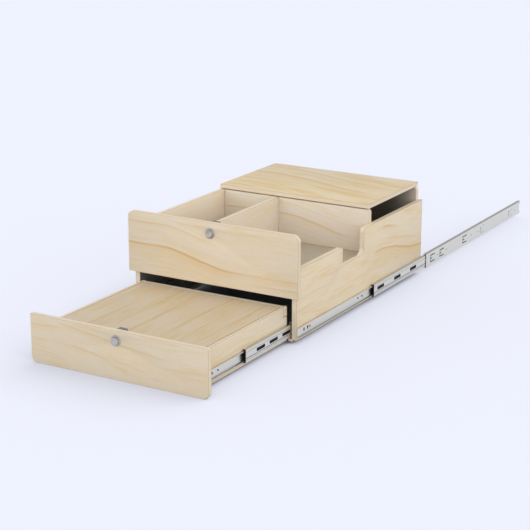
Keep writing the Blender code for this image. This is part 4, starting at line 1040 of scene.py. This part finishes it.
def cage(slide, part, label, back, gap_low, gap_high):
    """Black ball cage with a window for each ball, and its two rows of steel balls."""
    node_name, body = f"{slide}_{part}_cage_{label}", f"{slide}_{part}_cages"
    side, face, level = SIDES[label], slide_face(slide), slide_level(slide, label)
    middle, radius = (gap_low + gap_high) / 2, (gap_high - gap_low) / 2 - BALL_PLAY
    half, tip = middle + CAGE_SHEET / 2, back - CAGE_FLANGE
    path = rounded([(tip, half, 0), (back, half, CAGE_BEND), (back, -half, CAGE_BEND), (tip, -half, 0)],
                   BEND_STEPS)
    section = section_outline(side, face, level, folded(path, -CAGE_SHEET))
    balls, windows = [], []
    for along in places_on(node_name, [(index + 0.5) / BALLS_PER_ROW for index in range(BALLS_PER_ROW)]):
        for row in (-1, 1):
            place = Vector((side * (face + back - CAGE_FLANGE / 2), along, level + row * middle))
            ball = bmesh.new()
            bmesh.ops.create_icosphere(ball, subdivisions=3, radius=radius)
            bmesh.ops.translate(ball, verts=ball.verts, vec=place)
            balls.append(ball)
            windows.append(rod(place - Vector((0, 0, OVERRUN)), (0, 0, 1), radius, 2 * OVERRUN))
    shape = cut(prism(section, Y, *box_of(node_name)[Y]), joined(windows))
    piece(node_name + "_strip", body, shape, [BLACK], "black_plastic", node_name)
    piece(node_name + "_balls", body, joined(balls), [BALL], "screw_steel", round_form=True)


def cages():
    """The four pairs of ball cages; a gap lies between two rails, at a depth and between two heights."""
    gaps = {"inner": (MID_WEB - GROOVE_DEPTH - SHEET - CAGE_GAP, INNER_HEIGHT / 2, MID_HEIGHT / 2 - SHEET),
            "outer": (OUTER_WEB - SHEET - CAGE_GAP, MID_HEIGHT / 2, OUTER_HEIGHT / 2 - SHEET)}
    for label in SIDES:
        for slide in SLIDE_BOARDS:
            for part, gap in gaps.items():
                cage(slide, part, label, *gap)


def mid_stops():
    """Black stops on the front ends of the intermediate rails."""
    half, wall = MID_HEIGHT / 2, MID_WEB - STOP_WALL
    inside = half - STOP_WALL
    corners = [(MID_TIP, half, 0), (MID_WEB, half, WEB_BEND), (MID_WEB, -half, WEB_BEND), (MID_TIP, -half, 0),
               (MID_TIP, -inside, 0), (wall, -inside, 0), (wall, inside, 0), (MID_TIP, inside, 0)]
    for slide in SLIDE_BOARDS:
        for label, side in SIDES.items():
            node_name = f"{slide}_mid_stops_{label}"
            section = section_outline(side, slide_face(slide), middle_of(node_name)[Z],
                                      rounded(corners, BEND_STEPS))
            shape = eased(prism(section, Y, *box_of(node_name)[Y]), STOP_EASE)
            piece(node_name + "_moulding", f"{slide}_mid_rails", shape, [BLACK], "black_plastic", node_name)


def rosette(label, body, centre, face, back):
    """Satin ring round the knob, with a sleeve through the front board from its face to its back."""
    seat, inner, sleeve = face - SEAT, KNOB_RADIUS + SEAT, LOCK_HOLE_RADIUS - SEAT
    front = seat - ROSETTE_THICK
    profile = ([(inner, front + SEAT), (inner + SEAT, front)]
               + [(radius, front + depth) for radius, depth in ROSETTE_FACE]
               + [(ROSETTE_RADIUS, seat), (sleeve, seat), (sleeve, back - SEAT), (inner, back - SEAT)])
    shape = turned(profile, centre, (0, 1, 0), ring=True)
    piece(f"{label}_rosette_ring", body, shape, [NICKEL], "satin_nickel", f"{label}_rosette",
          round_form=True)


def knob(label, centre):
    """Dished push knob with a small dot in its face, and its stem."""
    face, stem_end = box_of(f"{label}_knob")[Y]
    foot = face + KNOB_LENGTH
    profile = ([(radius, face + depth) for radius, depth in KNOB_FACE]
               + [(KNOB_RADIUS, foot), (STEM_RADIUS, foot), (STEM_RADIUS, stem_end), (0, stem_end)])
    dot = centre + on_axis(Y, KNOB_DOT_OFFSET, face - OVERRUN)
    shape = cut(turned(profile, centre, (0, 1, 0)), rod(dot, (0, 1, 0), KNOB_DOT_RADIUS, 3 * OVERRUN))
    piece(f"{label}_knob_button", f"{label}_knob", shape, [NICKEL], "satin_nickel", f"{label}_knob",
          round_form=True)


def housing(label, body, centre, back):
    """Lock housing behind the front board, hollowed for the bolt and the knob's stem."""
    across, _, (low, high) = box_of(f"{label}_lock_housing")
    near, far = back + SEAT, back + HOUSING_DEPTH
    bolt_x, bolt_y, (bolt_low, _) = box_of(f"{label}_bolt")
    way = block((bolt_x[0] - SEAT, bolt_x[1] + SEAT), (bolt_y[0] - SEAT, bolt_y[1] + SEAT),
                (bolt_low - SEAT, high + OVERRUN))
    bore = rod(centre + Vector((0, near - OVERRUN, 0)), (0, 1, 0), STEM_RADIUS + SEAT,
               far - near + 2 * OVERRUN)
    outline = plate(across, (low, high), (0, 0, HOUSING_CORNER, HOUSING_CORNER))
    shape = cut(cut(eased(prism(outline, Y, near, far), HOUSING_EASE, 3), way), bore)
    piece(f"{label}_housing_casting", body, shape, [HOUSING], "dark_housing", f"{label}_lock_housing")


def lock(label, body):
    """One push lock: rosette, knob, housing, bolt and screws."""
    x, _, z = middle_of(f"{label}_knob")
    centre = Vector((x, 0, z))
    face, back = box_of(f"{label}_front")[Y]
    rosette(label, body, centre, face, back)
    knob(label, centre)
    housing(label, body, centre, back)
    across, y_range, up = box_of(f"{label}_bolt")
    shape = eased(prism(plate(across, up, (0, 0, BOLT_NOSE, BOLT_NOSE)), Y, *y_range), BOLT_EASE)
    piece(f"{label}_bolt_tongue", f"{label}_bolt", shape, [NICKEL], "satin_nickel", f"{label}_bolt")
    places = [(x + side * offset, back + HOUSING_DEPTH, z + height)
              for offset, height in (LOCK_SCREW_LOW, LOCK_SCREW_HIGH) for side in SIDES.values()]
    screws(f"{label}_lock_screws", body, places, (0, 1, 0), SMALL_PAN_RADIUS, SMALL_PAN_RISE)


def felt_strips():
    """Felt strips that the lid rests on."""
    for label in ("front", "rear"):
        shape = eased(block(*box_of(f"lid_felt_{label}")), FELT_EASE, 3)
        piece(f"lid_felt_{label}_strip", "box", shape, [FELT], "grey_felt", f"lid_felt_{label}")


def knuckle(place, length):
    """Rolled knuckle of a hinge leaf, from a place on the pin's axis along X."""
    profile = [(PIN_RADIUS + SEAT, 0), (KNUCKLE_RADIUS - SEAT, 0), (KNUCKLE_RADIUS, SEAT),
               (KNUCKLE_RADIUS, length - SEAT), (KNUCKLE_RADIUS - SEAT, length), (PIN_RADIUS + SEAT, length)]
    return turned(profile, place, (1, 0, 0), SMALL_SIDES, ring=True)


def hinge_leaf(part, label, body, close, far, knuckles):
    """One leaf, which reaches from close by the pin's axis to far, with its knuckles and screws."""
    middle, axis_y, axis_z = middle_of(f"hinge_pin_{label}")
    seat = box_of("back_panel")[Y][1] + SEAT
    sheet = (seat, seat + HINGE_SHEET)
    low, high = sorted((close, far))
    bends = (0, 0, LEAF_CORNER, LEAF_CORNER) if far > close else (LEAF_CORNER, LEAF_CORNER, 0, 0)
    across = (middle - HINGE_LENGTH / 2, middle + HINGE_LENGTH / 2)
    parts = [prism(plate(across, (low, high), bends), Y, *sheet)]
    tongue = sorted((close, axis_z + math.copysign(KNUCKLE_RADIUS / 2, close - axis_z)))
    for first, last in knuckles:
        parts.append(knuckle((middle + first, axis_y, axis_z), last - first))
        parts.append(block((middle + first, middle + last), sheet, tongue))
    piece(f"{part}_hinge_plate_{label}", body, joined(parts), [STEEL], "zinc_steel",
          f"{part}_hinge_leaf_{label}")
    height = (low + high) / 2 if part == "back" else middle_of("lid")[Z]
    places = [(middle + side * LEAF_SCREW_SPREAD / 2, sheet[1], height) for side in SIDES.values()]
    screws(f"{part}_hinge_screws_{label}", body, places, (0, 1, 0), SMALL_PAN_RADIUS, SMALL_PAN_RISE)


def hinge(label):
    """One butt hinge: lid leaf, back leaf and pin."""
    left, right = box_of(f"hinge_pin_{label}")[X]
    _, axis_y, axis_z = middle_of(f"hinge_pin_{label}")
    end, inside, near = HINGE_LENGTH / 2, MIDDLE_KNUCKLE / 2, KNUCKLE_RADIUS + 2 * SEAT
    lid_top = box_of(f"lid_hinge_leaf_{label}")[Z][1]
    back_foot = box_of(f"back_hinge_leaf_{label}")[Z][0]
    hinge_leaf("lid", label, "lid", axis_z + near, lid_top, [(-inside, inside)])
    hinge_leaf("back", label, "box", axis_z - near, back_foot, [(-end, -inside - SEAT), (inside + SEAT, end)])
    length = right - left
    profile = [(0, 0), (PIN_TIP_RADIUS, 0), (PIN_RADIUS, SEAT), (PIN_RADIUS, length - SEAT),
               (PIN_TIP_RADIUS, length), (0, length)]
    shape = turned(profile, (left, axis_y, axis_z), (1, 0, 0), SMALL_SIDES)
    piece(f"hinge_pin_{label}_rod", "box", shape, [SCREW], "screw_steel", f"hinge_pin_{label}",
          round_form=True)


def straight_rays(tree):
    """1 for rays from the camera, from metal and through glass, 0 for light that is scattered."""
    seen, mirrored, passed = [node(tree, "LightPath", output=f"Is {kind} Ray")
                              for kind in ("Camera", "Glossy", "Transmission")]
    return (seen + mirrored + passed).math("MINIMUM", 1.0)


def floor_paper():
    """Pale paper with an even glow and painted shadow: the glow dimmed where something closes it in, and once
    more under the box.
    """
    material, tree, shader = finish("floor_paper", roughness=1.0, shine=0.0)
    shader.inputs["Base Color"].default_value = (*FLOOR_COLOUR, 1)
    shader.inputs["Emission Strength"].default_value = 1
    glow = straight_rays(tree)
    for reach, closed, opened, lean in SHADOWS:
        towards = node(tree, "CombineXYZ", lean)
        openness = node(tree, "AmbientOcclusion", {"Distance": reach, "Normal": towards}, output="AO",
                        samples=16)
        glow = glow * openness.ramp(closed, opened)
    # Painted shadow under the box: there the glow dims further where the floor is closed in
    inside = 1.0
    for axis, limits in zip(object_axes(tree), BAY_SHADOW_LIMITS):
        inside = axis.between(*limits, BAY_FADE, BAY_FADE) * inside
    glow = glow * (1.0 - inside * (1.0 - openness.ramp(*BAY_SHADOW)))
    drive(tree, shader, "Emission Color", blend(tree, glow, (0, 0, 0), FLOOR_GLOW))
    return material


def lay_floor():
    """Plain pale floor under the object."""
    bm = bmesh.new()
    bmesh.ops.create_grid(bm, x_segments=1, y_segments=1, size=FLOOR_REACH)
    mesh = as_mesh("floor", bm)
    mesh.materials.append(floor_paper())
    floor = linked("floor", mesh)


def lamps():
    """Soft suns that light the object at a plain level."""
    for name, strength, spread, azimuth, elevation in SUNS:
        lamp = bpy.data.lights.new(name, "SUN")
        lamp.energy = strength
        lamp.angle = math.radians(spread)
        holder = linked(name, lamp)
        holder.rotation_euler = (math.radians(90 - elevation), 0, math.radians(azimuth))


def studio():
    """World that is bright round the horizon and dimmer overhead, and pale where the camera looks at it."""
    world = bpy.data.worlds.new("studio")
    world.use_nodes = True
    tree = world.node_tree
    direction = node(tree, "TexCoord", output="Generated")
    height = node(tree, "SeparateXYZ", [direction], output="Z")
    dome = blend(tree, height.ramp(0.0, 1.0), HORIZON_COLOUR, ZENITH_COLOUR)
    mirrored = node(tree, "LightPath", output="Is Glossy Ray")
    backdrop = blend(tree, mirrored * height.smooth(*OVERHEAD_FADE), BACKDROP_COLOUR, OVERHEAD_COLOUR)
    colour = blend(tree, straight_rays(tree), dome, backdrop)
    drive(tree, tree.nodes["Background"], "Color", colour)
    bpy.context.scene.world = world


def camera():
    """Camera that looks down at the object's front right corner."""
    lens = bpy.data.cameras.new("camera")
    lens.lens = CAMERA_LENS
    lens.sensor_width = CAMERA_SENSOR
    lens.clip_end = FLOOR_REACH * 4
    holder = linked("camera", lens)
    turn = Matrix.Translation(CAMERA_PLACE)
    for angle, axis in ((CAMERA_HEADING, "Z"), (90 - CAMERA_DROP, "X"), (CAMERA_ROLL, "Z")):
        turn = turn @ Matrix.Rotation(math.radians(angle), 4, axis)
    holder.matrix_world = turn
    bpy.context.scene.camera = holder


fronts()
left_side()
right_side()
cross_boards()
compartments()
lid()
drawer_sides()
drawer_rear()
table()
battens()
main_slides()
lower_slides()
cages()
mid_stops()
lock("upper", "box")
lock("lower", "lower_drawer")
felt_strips()
for hinge_side in SIDES:
    hinge(hinge_side)
bpy.context.scene.view_settings.view_transform = "Standard"
lay_floor()
lamps()
studio()
camera()
